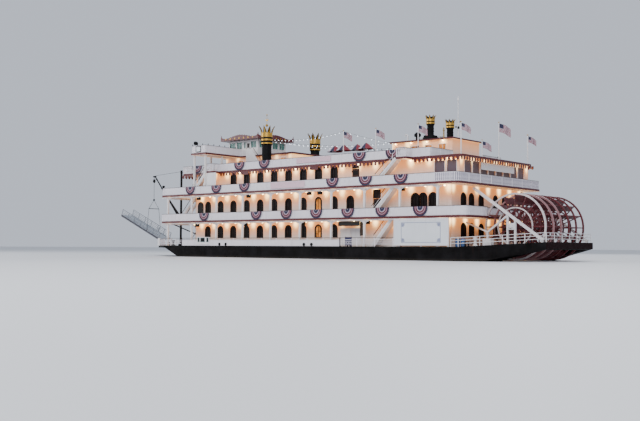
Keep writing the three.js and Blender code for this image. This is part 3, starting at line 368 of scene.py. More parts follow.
@dataclass(frozen=True)
class DeckSlab(Finish):
    """A deck: planked on top, boarded below with the lamps' light painted on, red at its edge and white on all that
    it carries.
    """

    level: float = DECK_2
    planks: Colour = (0.24, 0.17, 0.12)
    white: Colour = (0.74, 0.72, 0.72)
    glow: float = 1.0

    def compose(self, recipe: Recipe) -> None:
        """Chooses planks, edge paint, ceiling or white paint by place and by the way the surface faces, and paints
        the lamps' glow on the ceiling.

        Args:
            recipe: The material under construction.
        """
        up, height = recipe.part("Normal", 2), recipe.part("Object", 2)
        top, under = recipe.spread(up, 0.55, 0.65), recipe.spread(up, -0.55, -0.65)
        low, high = (self.level - SLAB) * FT, self.level * FT
        outside = recipe.add(recipe.spread(height, low - 0.004, low - 0.008),
                             recipe.spread(height, high + 0.004, high + 0.008))
        seams = recipe.seams(recipe.part("Object", 1), 0.45, 0.035)
        grain = recipe.noise(14, 5, (0.12, 3, 1))
        plank = recipe.mix(grain, self.planks, tuple(0.62 * c for c in self.planks))
        plank = recipe.mix(recipe.multiply(seams, 0.8), plank, (0.03, 0.025, 0.02))
        edge = recipe.mix(recipe.patches(0.5, 0.75, 0.5, 9, 5), self.colour, (0.05, 0.01, 0.012))
        board = recipe.mix(recipe.multiply(seams, 0.4), self.white, (0.25, 0.22, 0.19))
        painted = recipe.mix(outside, edge, recipe.mix(recipe.noise(3, 4), self.white, (0.6, 0.57, 0.56)))
        recipe.set(Base_Color=recipe.mix(under, recipe.mix(top, painted, plank), board),
                   Roughness=recipe.spread(grain, 0.3, 0.7, self.roughness - 0.05, self.roughness + 0.15))
        recipe.bump(recipe.multiply(recipe.subtract(1, seams), recipe.maths("MAXIMUM", top, under)), 0.004, 0.7)
        # The lamps' light is painted on the ceiling as glow; the lines below keep it to the underside.
        recipe.lamps(0, FIRST_LAMP_X, self.level, 0.4 * self.glow, 0)
        strength = recipe.shader.inputs["Emission Strength"]
        recipe.join(recipe.multiply(strength.links[0].from_socket, under), strength)


@dataclass(frozen=True)
class HullPlate(Finish):
    """Black hull plating with weld seams, a dull band at the transom and a scuffed deck."""

    band: Colour = (0.012, 0.003, 0.004)
    deck: Colour = (0.11, 0.1, 0.095)

    def compose(self, recipe: Recipe) -> None:
        """Chooses deck, band or plating by place, and adds seams, rust and a water mark.

        Args:
            recipe: The material under construction.
        """
        up = recipe.spread(recipe.part("Normal", 2), 0.7, 0.8)
        fore, height = recipe.part("Object", 0), recipe.part("Object", 2)
        aft = recipe.spread(fore, (TRANSOM_X + 0.3) * FT + SHIFT_X, (TRANSOM_X + 0.2) * FT + SHIFT_X)
        plates = recipe.maths("MAXIMUM", recipe.seams(fore, 8, 0.05), recipe.seams(height, 4, 0.05))
        side = recipe.mix(recipe.patches(0.35, 0.7, 1, 1.6, 4), self.colour, (0.009, 0.008, 0.009))
        side = recipe.mix(recipe.patches(0.6, 0.82, 0.4, 4, 6, (2, 2, 0.25)), side, (0.03, 0.014, 0.010))
        mark = recipe.spread(height, (WATERLINE + 1) * FT, WATERLINE * FT, 0, 0.4)
        side = recipe.mix(recipe.multiply(mark, recipe.noise(7, 4)), side, (0.1, 0.085, 0.06))
        walk = recipe.mix(recipe.noise(5, 5), self.deck, (0.17, 0.15, 0.13))
        recipe.set(Base_Color=recipe.mix(up, recipe.mix(aft, side, self.band), walk), Specular_IOR_Level=0.08,
                   Roughness=recipe.uneven(self.roughness, 0.1, 0.15, 7, 4))
        recipe.bump(recipe.subtract(1, plates), 0.003, 0.5)
        recipe.bump(recipe.noise(2.2, 2), 0.02, 0.25)
        recipe.bump(recipe.noise(90), 0.0015, 0.35)


@dataclass(frozen=True)
class Metal(Finish):
    """Bare, gilt or oiled metal with tarnish."""

    slot: str = "shaft_steel"
    tarnish: Colour = (0.12, 0.08, 0.04)

    def compose(self, recipe: Recipe) -> None:
        """Mixes metal and tarnish, with fine pitting.

        Args:
            recipe: The material under construction.
        """
        cloud = recipe.patches(0.45, 0.75, 0.5, 11, 5)
        recipe.set(Base_Color=recipe.mix(cloud, self.colour, self.tarnish),
                   Roughness=recipe.spread(cloud, 0, 1, self.roughness, self.roughness + 0.25))
        recipe.bump(recipe.noise(120, 2), 0.001, 0.3)


@dataclass(frozen=True)
class Varnish(Finish):
    """Varnished or painted joinery with grain along its height."""

    slot: str = "door_maroon"

    def compose(self, recipe: Recipe) -> None:
        """Mixes two shades along stretched grain.

        Args:
            recipe: The material under construction.
        """
        grain = recipe.noise(22, 6, (3, 3, 0.15))
        recipe.set(Base_Color=recipe.mix(grain, self.colour, self.shade(0.5)), Specular_IOR_Level=0.25,
                   Roughness=recipe.spread(grain, 0.2, 0.8, self.roughness - 0.08, self.roughness + 0.1))
        recipe.bump(grain, 0.001, 0.3)


@dataclass(frozen=True)
class Pane(Finish):
    """Window glass seen from outside, with some of the room's light behind it painted on as a glow."""

    slot: str = "shaft_steel"
    light: Colour = (1, 0.5, 0.18)
    glow: float = 0.02

    def compose(self, recipe: Recipe) -> None:
        """Mixes smoky glass and a cloudy glow, which is painted light.

        Args:
            recipe: The material under construction.
        """
        cloud = recipe.noise(3.5, 2)
        # The emission is painted light: the glass glows, though it is no lamp.
        recipe.set(Base_Color=recipe.mix(cloud, self.colour, self.shade(0.4)), Specular_IOR_Level=0.2,
                   Roughness=recipe.uneven(self.roughness, 0, 0.06, 18), Emission_Color=self.light,
                   Emission_Strength=recipe.spread(cloud, 0.35, 0.7, 0.25 * self.glow, self.glow))
        recipe.bump(recipe.noise(2, 1), 0.01, 0.1)


@dataclass(frozen=True)
class Bulb(Finish):
    """Frosted lamp glass, lit from inside."""

    slot: str = "board_pale"
    light: Colour = (1, 0.62, 0.25)
    glow: float = 9.0

    def compose(self, recipe: Recipe) -> None:
        """Mixes frosted glass and its light."""
        recipe.set(Base_Color=recipe.mix(recipe.noise(40, 2), self.colour, self.shade(0.8)),
                   Roughness=self.roughness, Emission_Color=self.light, Emission_Strength=self.glow)


@dataclass(frozen=True)
class Cloth(Finish):
    """Woven cloth with a fine weave and a little sheen."""

    slot: str = "board_pale"

    def compose(self, recipe: Recipe) -> None:
        """Mixes weave and the folds' dust over the colour.

        Args:
            recipe: The material under construction.
        """
        weave = recipe.multiply(*(recipe.noise(420, 1, way) for way in ((1, 1, 0.2), (0.2, 0.2, 1))))
        dust = recipe.patches(0.45, 0.8, 0.3, 6, 4)
        dusty = recipe.mix(dust, self.colour, tuple(0.6 * c + 0.03 for c in self.colour))
        recipe.set(Base_Color=recipe.mix(recipe.spread(weave, 0.1, 0.4, 0, 0.25), dusty, self.shade(0.7)),
                   Roughness=self.roughness, Sheen_Weight=0.15)
        recipe.bump(weave, 0.001, 0.4)


def red_paint(name: str, colour: Colour, roughness: float, worn: Colour, wear: float, coat: float = 0.2) -> Paint:
    """Returns the paint of the stern wheel's parts."""
    return Paint(name, colour, roughness, worn=worn, wear=wear, coat=coat, slot="wheel_red")


def black_paint(name: str, colour: Colour, worn: Colour, slot: str) -> Paint:
    """Returns a dull black paint."""
    return Paint(name, colour, 0.6, worn=worn, wear=0.4, coat=0, slot=slot)


WHITE = Paint("house_white_paint", (0.80, 0.77, 0.78), 0.45, worn=(0.4, 0.36, 0.34))
RAIL_WHITE = Paint("rail_white_paint", (0.80, 0.76, 0.81), 0.45, worn=(0.4, 0.36, 0.38))
# RAIL_SHADE is painted shade: a dark grey copy of the rails' white, for the panel behind shaded balusters.
RAIL_SHADE = Paint("rail_backing_paint", (0.34, 0.31, 0.40), 0.5, worn=(0.22, 0.2, 0.24))
# Ring paints: the pink one is painted half-shade between the pale ring and the red.
WHEEL_WHITE = red_paint("wheel_ring_paint", (0.66, 0.58, 0.58), 0.5, (0.3, 0.12, 0.12), 0.5)
WHEEL_HALF_SHADE = red_paint("wheel_half_shade_paint", (0.33, 0.17, 0.18), 0.5, (0.16, 0.04, 0.04), 0.6)
WHEEL_RED = red_paint("wheel_red_paint", (0.115, 0.012, 0.018), 0.55, (0.05, 0.025, 0.02), 0.6, 0.05)
CREST_RED = Paint("crest_red_paint", (0.10, 0.006, 0.010), 0.4, worn=(0.35, 0.12, 0.14), wear=0.35,
                  slot="crest_red")
FRINGE_RED = Paint("fringe_red_paint", (0.10, 0.006, 0.008), 0.45, worn=(0.07, 0.02, 0.02), wear=0.4,
                   slot="trim_maroon")
GEAR_BLACK = black_paint("gear_black_paint", (0.006, 0.006, 0.007), (0.025, 0.018, 0.015), "gear_black")
STACK_BLACK = black_paint("stack_black_paint", (0.005, 0.005, 0.006), (0.02, 0.018, 0.016), "stack_black")
STAGE_DARK = Paint("stage_dark_paint", (0.03, 0.03, 0.045), 0.5, worn=(0.08, 0.06, 0.05), wear=0.4, coat=0.05,
                   slot="stage_grey")
BOARD_PALE = Paint("board_pale_paint", (0.74, 0.76, 0.80), 0.35, worn=(0.45, 0.45, 0.45), wear=0.15,
                   slot="board_pale")
ORNAMENT_BLUE = Paint("border_blue_paint", (0.10, 0.13, 0.30), 0.4, slot="board_pale")
GATE_BLUE = Paint("gate_blue_paint", (0.02, 0.018, 0.09), 0.45, slot="gear_black")
BARREL_BLUE = Paint("barrel_blue_paint", (0.03, 0.10, 0.28), 0.4, slot="board_pale")
LOCKER_GREEN = Paint("locker_green_paint", (0.02, 0.06, 0.06), 0.5, slot="gear_black")
TREAD_PALE = Paint("stage_tread_paint", (0.42, 0.47, 0.53), 0.6, worn=(0.25, 0.26, 0.28), wear=0.4,
                   slot="stage_grey")
RAIL_CAP = Varnish("rail_cap_varnish", (0.035, 0.018, 0.014), 0.4)
SASH = Varnish("sash_varnish", (0.008, 0.003, 0.003), 0.55)
DOOR_WOOD = Varnish("door_varnish", (0.07, 0.024, 0.014), 0.35)
STAGE = TwoTone("stage_paint", (0.03, 0.03, 0.045), 0.5)
GOLD = Metal("gilt", (0.62, 0.36, 0.07), 0.34, 0.9, tarnish=(0.28, 0.15, 0.03))
BRASS = Metal("brass", (0.62, 0.42, 0.16), 0.25, 1)
STEEL = Metal("worn_steel", (0.30, 0.30, 0.31), 0.38, 1, tarnish=(0.1, 0.08, 0.07))
GALVANISED = Metal("galvanised_steel", (0.5, 0.51, 0.52), 0.45, 0.8, "stage_grey", (0.25, 0.25, 0.25))
DARK_PANE = Pane("window_glass", (0.006, 0.002, 0.003), 0.35, glow=0.004)
LIT_PANE = Pane("lit_window_glass", (0.10, 0.03, 0.01), 0.2, light=(1, 0.36, 0.08), glow=1.1)
GREEN_PANE = Pane("pilothouse_glass", (0.07, 0.17, 0.16), 0.15, light=(0.3, 0.85, 0.75), glow=0.12)
SCREEN_PANE = Pane("lounge_glass", (0.13, 0.10, 0.13), 0.4, light=(1, 0.5, 0.3), glow=0.06)
LAMP_GLASS = Bulb("lamp_glass", (0.9, 0.8, 0.6), 0.4, light=(1, 0.72, 0.34), glow=14)
AMBER_GLASS = Bulb("amber_glass", (0.9, 0.6, 0.3), 0.4, light=(1, 0.5, 0.14), glow=7)
FESTOON_GLASS = Bulb("festoon_glass", (0.9, 0.9, 0.9), 0.4, light=(0.8, 0.9, 1), glow=4)
FLAG_RED = Cloth("cloth_red", (0.22, 0.010, 0.025), 0.75)
FLAG_WHITE = Cloth("cloth_white", (0.55, 0.48, 0.54), 0.8)
FLAG_BLUE = Cloth("cloth_blue", (0.010, 0.010, 0.045), 0.75)
BUNTING_WHITE = Cloth("bunting_white", (0.42, 0.34, 0.42), 0.8)
BUNTING_RED = Cloth("bunting_red", (0.13, 0.008, 0.02), 0.75)
AWNING_CLOTH = Cloth("awning_canvas", (0.02, 0.022, 0.022), 0.8, slot="gear_black")
BANNER_PINK = Cloth("cloth_pale_pink", (0.70, 0.48, 0.55), 0.7)
BANNER_WHITE = Cloth("cloth_banner_white", (0.74, 0.70, 0.70), 0.7)
HULL = HullPlate("hull_plating", (0.0025, 0.002, 0.002), 0.7)


def wall_paint(name: str, ceiling: float, first_lamp: float, axis: int = 0, glow: float = 1.0) -> LitWall:
    """Returns a wall's paint, with the painted light of lamps under its ceiling that are spaced along X (0) or Y
    (1).
    """
    return LitWall(name, (0.76, 0.72, 0.71), 0.5, ceiling=ceiling, axis=axis, first_lamp=first_lamp, glow=glow)


def deck_paint(node: str, level: float, glow: float = 1.0) -> DeckSlab:
    """Returns the finish of one deck slab, whose top stands at a level."""
    return DeckSlab(f"{node}_paint", (0.085, 0.006, 0.009), 0.5, level=level, glow=glow)


# Shapes

SHARP_EDGE = radians(35)


class Line:
    """A level line of straight runs, with places measured along it."""

    def __init__(self, points: Iterable[Point], closed: bool = False) -> None:
        """Keeps the corners, and measures each run.

        Args:
            points: X and Y of each corner.
            closed: True for a ring.
        """
        self.points = [Vector(point[:2]) for point in points]
        self.closed = closed
        self.runs = list(zip(self.points, self.points[1:] + self.points[:closed]))
        self.length = sum((end - start).length for start, end in self.runs)

    def at(self, distance: float) -> tuple[Vector, Vector]:
        """Finds a place on the line.

        Args:
            distance: Distance from its start.

        Returns:
            The place, and the line's direction there.
        """
        for start, end in self.runs:
            length = (end - start).length
            if distance <= length:
                break
            distance -= length
        return start.lerp(end, min(1, distance / length)).to_3d(), (end - start).normalized().to_3d()

    def stations(self, pitch: float) -> list[tuple[Vector, Vector]]:
        """Spaces places evenly along the line, close to a pitch.

        Args:
            pitch: The wanted spacing, in feet.

        Returns:
            Place and direction of each, both ends among them unless the line is closed.
        """
        count = max(1, round(self.length / pitch))
        return [self.at(i * self.length / count) for i in range(count if self.closed else count + 1)]


def rounded(points: Sequence[Point], radius: float, closed: bool = False, steps: int = 5) -> Line:
    """Rounds the corners of a level line.

    Args:
        points: The line's corners.
        radius: Radius of each corner.
        closed: True for a ring.
        steps: Runs in each corner's arc.

    Returns:
        The line with its corners rounded.
    """
    corners = [Vector(p) for p in points]
    made: list[Vector] = []
    for i, corner in enumerate(corners):
        if not closed and i in (0, len(corners) - 1):
            made.append(corner)
            continue
        back = (corners[i - 1] - corner).normalized()
        ahead = (corners[(i + 1) % len(corners)] - corner).normalized()
        half = back.angle(ahead) / 2
        reach = radius / tan(half)
        middle = corner + (back + ahead).normalized() * (radius / sin(half))
        start, end = corner + back * reach - middle, corner + ahead * reach - middle
        turn = start.angle_signed(end)
        made += [middle + Matrix.Rotation(-turn * step / steps, 2) @ start for step in range(steps + 1)]
    return Line(made, closed)


def oblong(x0: float, x1: float, z0: float, z1: float) -> list[Span]:
    """Returns the outline of a rectangle."""
    return [(x0, z0), (x1, z0), (x1, z1), (x0, z1)]


def arch(width: float, height: float, foot: float = 0.0, steps: int = 8) -> list[Span]:
    """Outlines an arched opening.

    Args:
        width: Width of the opening.
        height: Height of the crown.
        foot: Height of the sill.
        steps: Runs in the arch.

    Returns:
        Points across and up from the middle of the sill.
    """
    half, springing = width / 2, height - width / 2
    turns = (pi * i / steps for i in range(steps + 1))
    return [(-half, foot), (half, foot), *((half * cos(t), springing + half * sin(t)) for t in turns)]


def turns(count: int, offset: float = 0.0) -> list[float]:
    """Returns angles spaced evenly round a circle, the first one offset by a share of their spacing."""
    return [2 * pi * (i + offset) / count for i in range(count)]


class Shape:
    """Collects the faces of one piece in feet, and places it as a mesh."""

    def __init__(self, name: str, finish: Finish, slot: str | None = None) -> None:
        """Starts an empty piece, in its finish's slot of the record or in another."""
        self.name, self.finish, self.slot = name, finish, slot or finish.slot
        self.points: list[Vector] = []
        self.faces: list[tuple[int, ...]] = []

    def loft(self, rings: Sequence[Sequence[Vector]], closed: bool = False) -> None:
        """Adds a closed skin over a row of rings with equal numbers of points.

        Args:
            rings: The rings, in order.
            closed: True where the last ring joins the first.
        """
        start, size, count = len(self.points), len(rings[0]), len(rings)
        area = Vector()
        for j, point in enumerate(rings[0]):
            area += point.cross(rings[0][(j + 1) % size])
        ahead = sum(rings[1], Vector()) / size - sum(rings[0], Vector()) / size
        order = 1 if area.dot(ahead) >= 0 else -1
        for i in range(count if closed else count - 1):
            a, b = start + i * size, start + (i + 1) % count * size
            for j in range(size):
                k = (j + 1) % size
                self.faces.append((a + j, a + k, b + k, b + j)[::order])
        if not closed:
            last = start + (count - 1) * size
            self.faces.append(tuple(range(start + size - 1, start - 1, -1))[::order])
            self.faces.append(tuple(range(last, last + size))[::order])
        self.points += [Vector(p) for ring in rings for p in ring]

    def box(self, x: Span, y: Span, z: Span) -> None:
        """Adds a box between two values on each axis."""
        self.loft([[Vector((a, b, level)) for a, b in oblong(*x, *y)] for level in z])

    def post(self, place: Point, half: float, z: Span) -> None:
        """Adds a square post, centred on a place, between two heights."""
        self.box((place[0] - half, place[0] + half), (place[1] - half, place[1] + half), z)

    def bar(self, start: Point, end: Point, radius: float, sides: int = 8, end_radius: float | None = None) -> None:
        """Adds a round bar between two points, tapered where an end radius is given."""
        self.pipe([start, end], radius, sides, end_radius)

    def pipe(self, points: Sequence[Point], radius: float, sides: int = 8, end_radius: float | None = None) -> None:
        """Adds a round pipe along a line of points.

        Args:
            points: The line it follows.
            radius: Its radius at the start.
            sides: Faces round it.
            end_radius: Its radius at the end, where that differs.
        """
        line = [Vector(p) for p in points]
        last = len(line) - 1
        across = (line[1] - line[0]).orthogonal().normalized()
        rings = []
        for i, point in enumerate(line):
            back = (point - line[i - 1]).normalized() if i else (line[1] - line[0]).normalized()
            ahead = (line[i + 1] - point).normalized() if i < last else back
            way = (back + ahead).normalized()
            across = (across - way * across.dot(way)).normalized()
            size = radius if end_radius is None else radius + (end_radius - radius) * i / last
            rings.append([point + (across * cos(t) + way.cross(across) * sin(t)) * size for t in turns(sides)])
        self.loft(rings)

    def beam(self, start: Point, end: Point, width: float, depth: float, side: Point = (0, 1, 0)) -> None:
        """Adds a squared timber.

        Args:
            start: Middle of one end.
            end: Middle of the other end.
            width: Size along side.
            depth: Size square to side.
            side: Direction that the width is measured in.
        """
        a, b, across = Vector(start), Vector(end), Vector(side)
        way = (b - a).normalized()
        across = (across - way * across.dot(way)).normalized()
        section = oblong(-width / 2, width / 2, -depth / 2, depth / 2)
        corners = [across * p + way.cross(across) * q for p, q in section]
        self.loft([[a + c for c in corners], [b + c for c in corners]])

    def prism(self, outline: Outline, origin: Point, across: Point, up: Point, depth: Point,
              hole: Outline = ()) -> None:
        """Adds a flat board of any outline.

        Args:
            outline: Points as distances across and up from the origin.
            origin: The outline's own zero.
            across: Unit direction of the first distance.
            up: Unit direction of the second.
            depth: Thickness, as a vector.
            hole: Outline of a hole in it, with as many points.
        """
        base, u, v, w = Vector(origin), Vector(across), Vector(up), Vector(depth)
        outer, inner = ([base + u * p + v * q for p, q in line] for line in (outline, hole))
        if hole:
            self.loft([[far, near, near + w, far + w] for far, near in zip(outer, inner)], closed=True)
        else:
            self.loft([outer, [point + w for point in outer]])

    def slab(self, outline: Outline, place: Point, along: Vector, thick: float) -> None:
        """Adds an upright board in a level direction, centred on a place."""
        left = UP.cross(along) * thick
        self.prism(outline, Vector(place) - left / 2, along, UP, left)

    def turned(self, centre: Point, profile: Outline, sides: int = 16, axis: Point = (0, 0, 1)) -> None:
        """Adds a turned form.

        Args:
            centre: Zero of the heights, on the axis.
            profile: Radius and height of each ring, from one end to the other.
            sides: Faces round it.
            axis: Direction of the axis.
        """
        base, way = Vector(centre), Vector(axis).normalized()
        across = Vector((0, 1, 0)) if abs(way.y) < 0.9 else Vector((1, 0, 0))
        across = (across - way * across.dot(way)).normalized()
        spokes = [across * cos(t) + way.cross(across) * sin(t) for t in turns(sides, 0.5)]
        self.loft([[base + way * height + spoke * radius for spoke in spokes] for radius, height in profile])

    def ball(self, centre: Point, radius: float, sides: int = 8, tall: float = 1.0) -> None:
        """Adds a round or egg-shaped ball.

        Args:
            centre: Its middle.
            radius: Its radius.
            sides: Faces round it.
            tall: Its height as a share of its width.
        """
        steps = max(4, sides // 2 + 1)
        rise = (pi * (0.06 + 0.88 * i / (steps - 1)) for i in range(steps))
        self.turned(centre, [(radius * sin(t), -radius * tall * cos(t)) for t in rise], sides)

    def carried(self, profile: Outline, line: Line) -> None:
        """Adds a moulding along a level line, with mitred corners.

        Args:
            profile: Distances to the left of the line, and heights.
            line: The line.
        """
        last = len(line.points) - 1
        rings = []
        for i, corner in enumerate(line.points):
            ways = []
            if line.closed or i > 0:
                ways.append((corner - line.points[i - 1]).normalized())
            if line.closed or i < last:
                ways.append((line.points[(i + 1) % (last + 1)] - corner).normalized())
            left = sum((Vector((-way.y, way.x)) for way in ways), Vector((0, 0)))
            left *= len(ways) / left.length_squared
            rings.append([Vector((corner.x + out * left.x, corner.y + out * left.y, up)) for out, up in profile])
        self.loft(rings, line.closed)

    def mesh_object(self) -> bpy.types.Object:
        """Makes the piece's object.

        Returns:
            The object, with its finish and its shading set.
        """
        mesh = bpy.data.meshes.new(self.name)
        mesh.from_pydata([to_model(p) for p in self.points], [], self.faces)
        mesh.materials.append(self.finish.material())
        mesh.shade_smooth()
        mesh.set_sharp_from_angle(angle=SHARP_EDGE)
        return linked(self.name, mesh)

    def twin(self) -> None:
        """Adds the mirror image of all its faces, on the boat's other side."""
        count = len(self.points)
        self.points += [Vector((x, -y, z)) for x, y, z in self.points]
        self.faces += [tuple(count + i for i in face[::-1]) for face in self.faces]

    def place(self, body: str = "boat", replaces: Iterable[str] = ()) -> None:
        """Makes the piece and fixes it to its body; an empty piece is left out.

        Args:
            body: The CAD body that it rides on.
            replaces: CAD nodes that it stands for.
        """
        if not self.faces:
            return
        made = self.mesh_object()
        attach(made, body)
        if replaces:
            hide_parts(*replaces)
        LOG.info("%s: %d faces on %s", self.name, len(self.faces), body)


def linked(name: str, data: bpy.types.ID) -> bpy.types.Object:
    """Makes an object of a mesh, lamp or camera, and links it to the scene.

    Args:
        name: The object's name.
        data: What it shows.

    Returns:
        The object.
    """
    made = bpy.data.objects.new(name, data)
    bpy.context.scene.collection.objects.link(made)
    return made


def pieces(prefix: str, **finishes: Finish) -> list[Shape]:
    """Starts a row of empty pieces, named with a prefix and their keywords."""
    return [Shape(f"{prefix}_{key}", finish) for key, finish in finishes.items()]


def place(*shapes: Shape, body: str = "boat", twins: bool = False) -> None:
    """Places several pieces on one body.

    Args:
        shapes: The pieces.
        body: The CAD body that they ride on.
        twins: True where they are built for the port side alone and stand on both sides.
    """
    for shape in shapes:
        if twins:
            shape.twin()
        shape.place(body)


def dress(finish: Finish, *nodes: str) -> None:
    """Gives CAD nodes a finish in place of their plain colour.

    Args:
        finish: The finish.
        nodes: The nodes' names.
    """
    for node in nodes:
        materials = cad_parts[node].data.materials
        materials.clear()
        materials.append(finish.material())
        LOG.info("%s: dressed in %s", node, finish.name)


# Walls, windows and doors


@dataclass(frozen=True)
class Face:
    """The outer face of a straight wall: a point on it, and its directions along and out."""

    origin: Point
    across: Point
    out: Point

    @classmethod
    def side(cls, y: float) -> "Face":
        """Returns the face of a wall along X at a given Y, which looks away from the boat's middle."""
        return cls((0, y, 0), (1, 0, 0), (0, copysign(1, y), 0))

    @classmethod
    def end(cls, x: float, way: int) -> "Face":
        """Returns the face of a wall across the boat at a given X, which looks forward (1) or aft (-1)."""
        return cls((x, 0, 0), (0, 1, 0), (way, 0, 0))

    def point(self, along: float, height: float, out: float = 0.0) -> Vector:
        """Returns a place by its distances along the wall, up and out of it."""
        return Vector(self.origin) + Vector(self.across) * along + UP * height + Vector(self.out) * out

    def at(self, along: float, height: float) -> "Face":
        """Returns the same face, with its zero moved along the wall and up."""
        return Face(self.point(along, height), self.across, self.out)

    def board(self, shape: Shape, outline: Outline, start: float, end: float, hole: Outline = ()) -> None:
        """Adds a flat board to the wall.

        Args:
            shape: The piece that takes it.
            outline: Points as distances along the wall, and heights.
            start: Distance of its back out of the wall.
            end: Distance of its front.
            hole: Outline of a hole in it, with as many points.
        """
        shape.prism(outline, self.point(0, 0, start), self.across, UP, Vector(self.out) * (end - start), hole)

    def rim(self, shape: Shape, ends: Sequence[float], wide: float, start: float, end: float) -> None:
        """Adds a rectangular frame of an even width to the wall.

        Args:
            shape: The piece that takes it.
            ends: Its two ends along the wall, its foot and its head.
            wide: Width of its members.
            start: Distance of its back out of the wall.
            end: Distance of its front.
        """
        a, b, c, d = ends
        self.board(shape, oblong(*ends), start, end, oblong(a + wide, b - wide, c + wide, d - wide))

    def light(self, panes: Shape, bars: Shape, span: Span, heights: Span, mullions: int = 0) -> None:
        """Fits a framed pane into a rectangular opening.

        Args:
            panes: Takes the glass.
            bars: Takes the frame and mullions.
            span: The opening's two ends along the wall.
            heights: Its sill and head.
            mullions: Upright bars across the glass.
        """
        (a, b), (c, d), lap, wide = span, heights, 0.05, 0.14
        self.board(panes, oblong(a, b, c, d), -0.3, -0.22)
        self.rim(bars, (a - wide, b + wide, c - wide, d + wide), wide + lap, -0.02, 0.1)
        for k in range(mullions):
            middle = a + (b - a) * (k + 1) / (mullions + 1)
            self.board(bars, oblong(middle - lap, middle + lap, c, d), -0.34, -0.14)


def house_door(name: str, face: Face) -> None:
    """Places a fixed door with one panel on a roof house's end wall.

    Args:
        name: The piece's name.
        face: The wall's outer face.
    """
    door, there = Shape(name, DOOR_WOOD), face.at(0, ROOF_DECK)
    there.board(door, oblong(-1.45, 1.45, 0.25, 6.55), 0, 0.25)
    there.rim(door, (-1.2, 1.2, 0.6, 6.2), 0.3, 0.25, 0.33)
    door.place()


@dataclass
class Saloon:
    """One deck's saloon: paints its walls and fits dark sashes and glass in their arched windows."""

    name: str
    deck: float
    above: float
    aft_x: float
    windows: tuple[float, ...]
    lit: tuple[float, ...] = ()
    louvres: bool = False
    blind: tuple[float, ...] = ()
    aft_places: tuple[float, ...] = (-17, -11.7, -5.1, 5.1, 11.7, 17)
    front_places: tuple[float, ...] = (-16, -8, 8, 16)
    width: float = 2.9
    height: float = 4.8
    sill: float = 3.3

    def build(self) -> None:
        """Dresses the four walls and fits their windows."""
        walls = [(side, 0, Face.side(sign * CABIN_HALF), self.windows + self.blind) for side, sign in SIDES.items()]
        walls += [("front", 1, Face.end(CABIN_FRONT_X, 1), self.front_places),
                  ("aft", 1, Face.end(self.aft_x, -1), self.aft_places)]
        for side, axis, face, places in walls:
            name, first = f"{self.name}_paint_{'xy'[axis]}", 0 if axis else FIRST_LAMP_X
            paint = wall_paint(name, self.above - SLAB, first, axis)
            dress(paint, f"{self.name}_wall_{side}")
            self.fit(side, face, places, paint)

    def fit(self, side: str, face: Face, places: Sequence[float], paint: Finish) -> None:
        """Fits the windows of one wall.

        Args:
            side: The wall's name.
            face: The wall's outer face.
            places: Middle of each window along the wall.
            paint: The wall's paint, for the trim.
        """
        shapes = pieces(f"{self.name}_{side}", trim=paint, sashes=SASH, panes=DARK_PANE, lit_panes=LIT_PANE)
        (trim, sash, dark, warm), w, h = shapes, self.width, self.height
        for along in places:
            there = face.at(along, self.deck + self.sill)
            there.board(trim, arch(w + 1.3, h + 0.6), -0.02, 0.1, arch(w + 0.9, h + 0.35))
            there.board(trim, oblong(-1.9, 1.9, -0.3, 0), -0.02, 0.28)
            there.board(sash, arch(w + 0.92, h + 0.35), -0.04, 0.12, arch(w - 0.5, h - 0.3, 0.25))
            there.board(sash, oblong(-0.05, 0.05, 0.2, h - 0.15), -0.2, 0)
            there.board(sash, oblong(0.1 - w / 2, w / 2 - 0.1, 2.3, 2.4), -0.2, 0)
            front = 0.04 if along in self.blind else -0.16
            there.board(warm if along in self.lit else dark, arch(w - 0.04, h - 0.02), front - 0.08, front)
            if self.louvres:
                for k in range(5):
                    there.board(trim, oblong(-1.15, 1.15, -1.3 + k * 0.18, -1.2 + k * 0.18), -0.02, 0.1)
                there.board(sash, oblong(-1.3, 1.3, -1.45, -0.4), -0.02, 0.12, oblong(-1.15, 1.15, -1.3, -0.5))
        place(*shapes)


@dataclass
class Lounge(Saloon):
    """Deck 3's saloon, whose aft end is screened from side to side."""

    aft_places: tuple[float, ...] = ()
    bay: float = 5.4
    side_lights: tuple[Span, ...] = ((3.9, 7.9), (8.7, 12.9))

    def build(self) -> None:
        """Builds the windows and then the screened aft end."""
        super().build()
        panes, bars = pieces("lounge", screens=SCREEN_PANE, frames=WHITE)
        heights = (self.deck + 1.2, self.above - SLAB - 1)
        for i in range(8):
            start = -21.6 + i * self.bay
            Face.end(self.aft_x, -1).light(panes, bars, (start + 0.3, start + self.bay - 0.3), heights)
        for span, sign in product(self.side_lights, SIGNS):
            Face.side(sign * CABIN_HALF).light(panes, bars, span, heights)
        place(panes, bars)


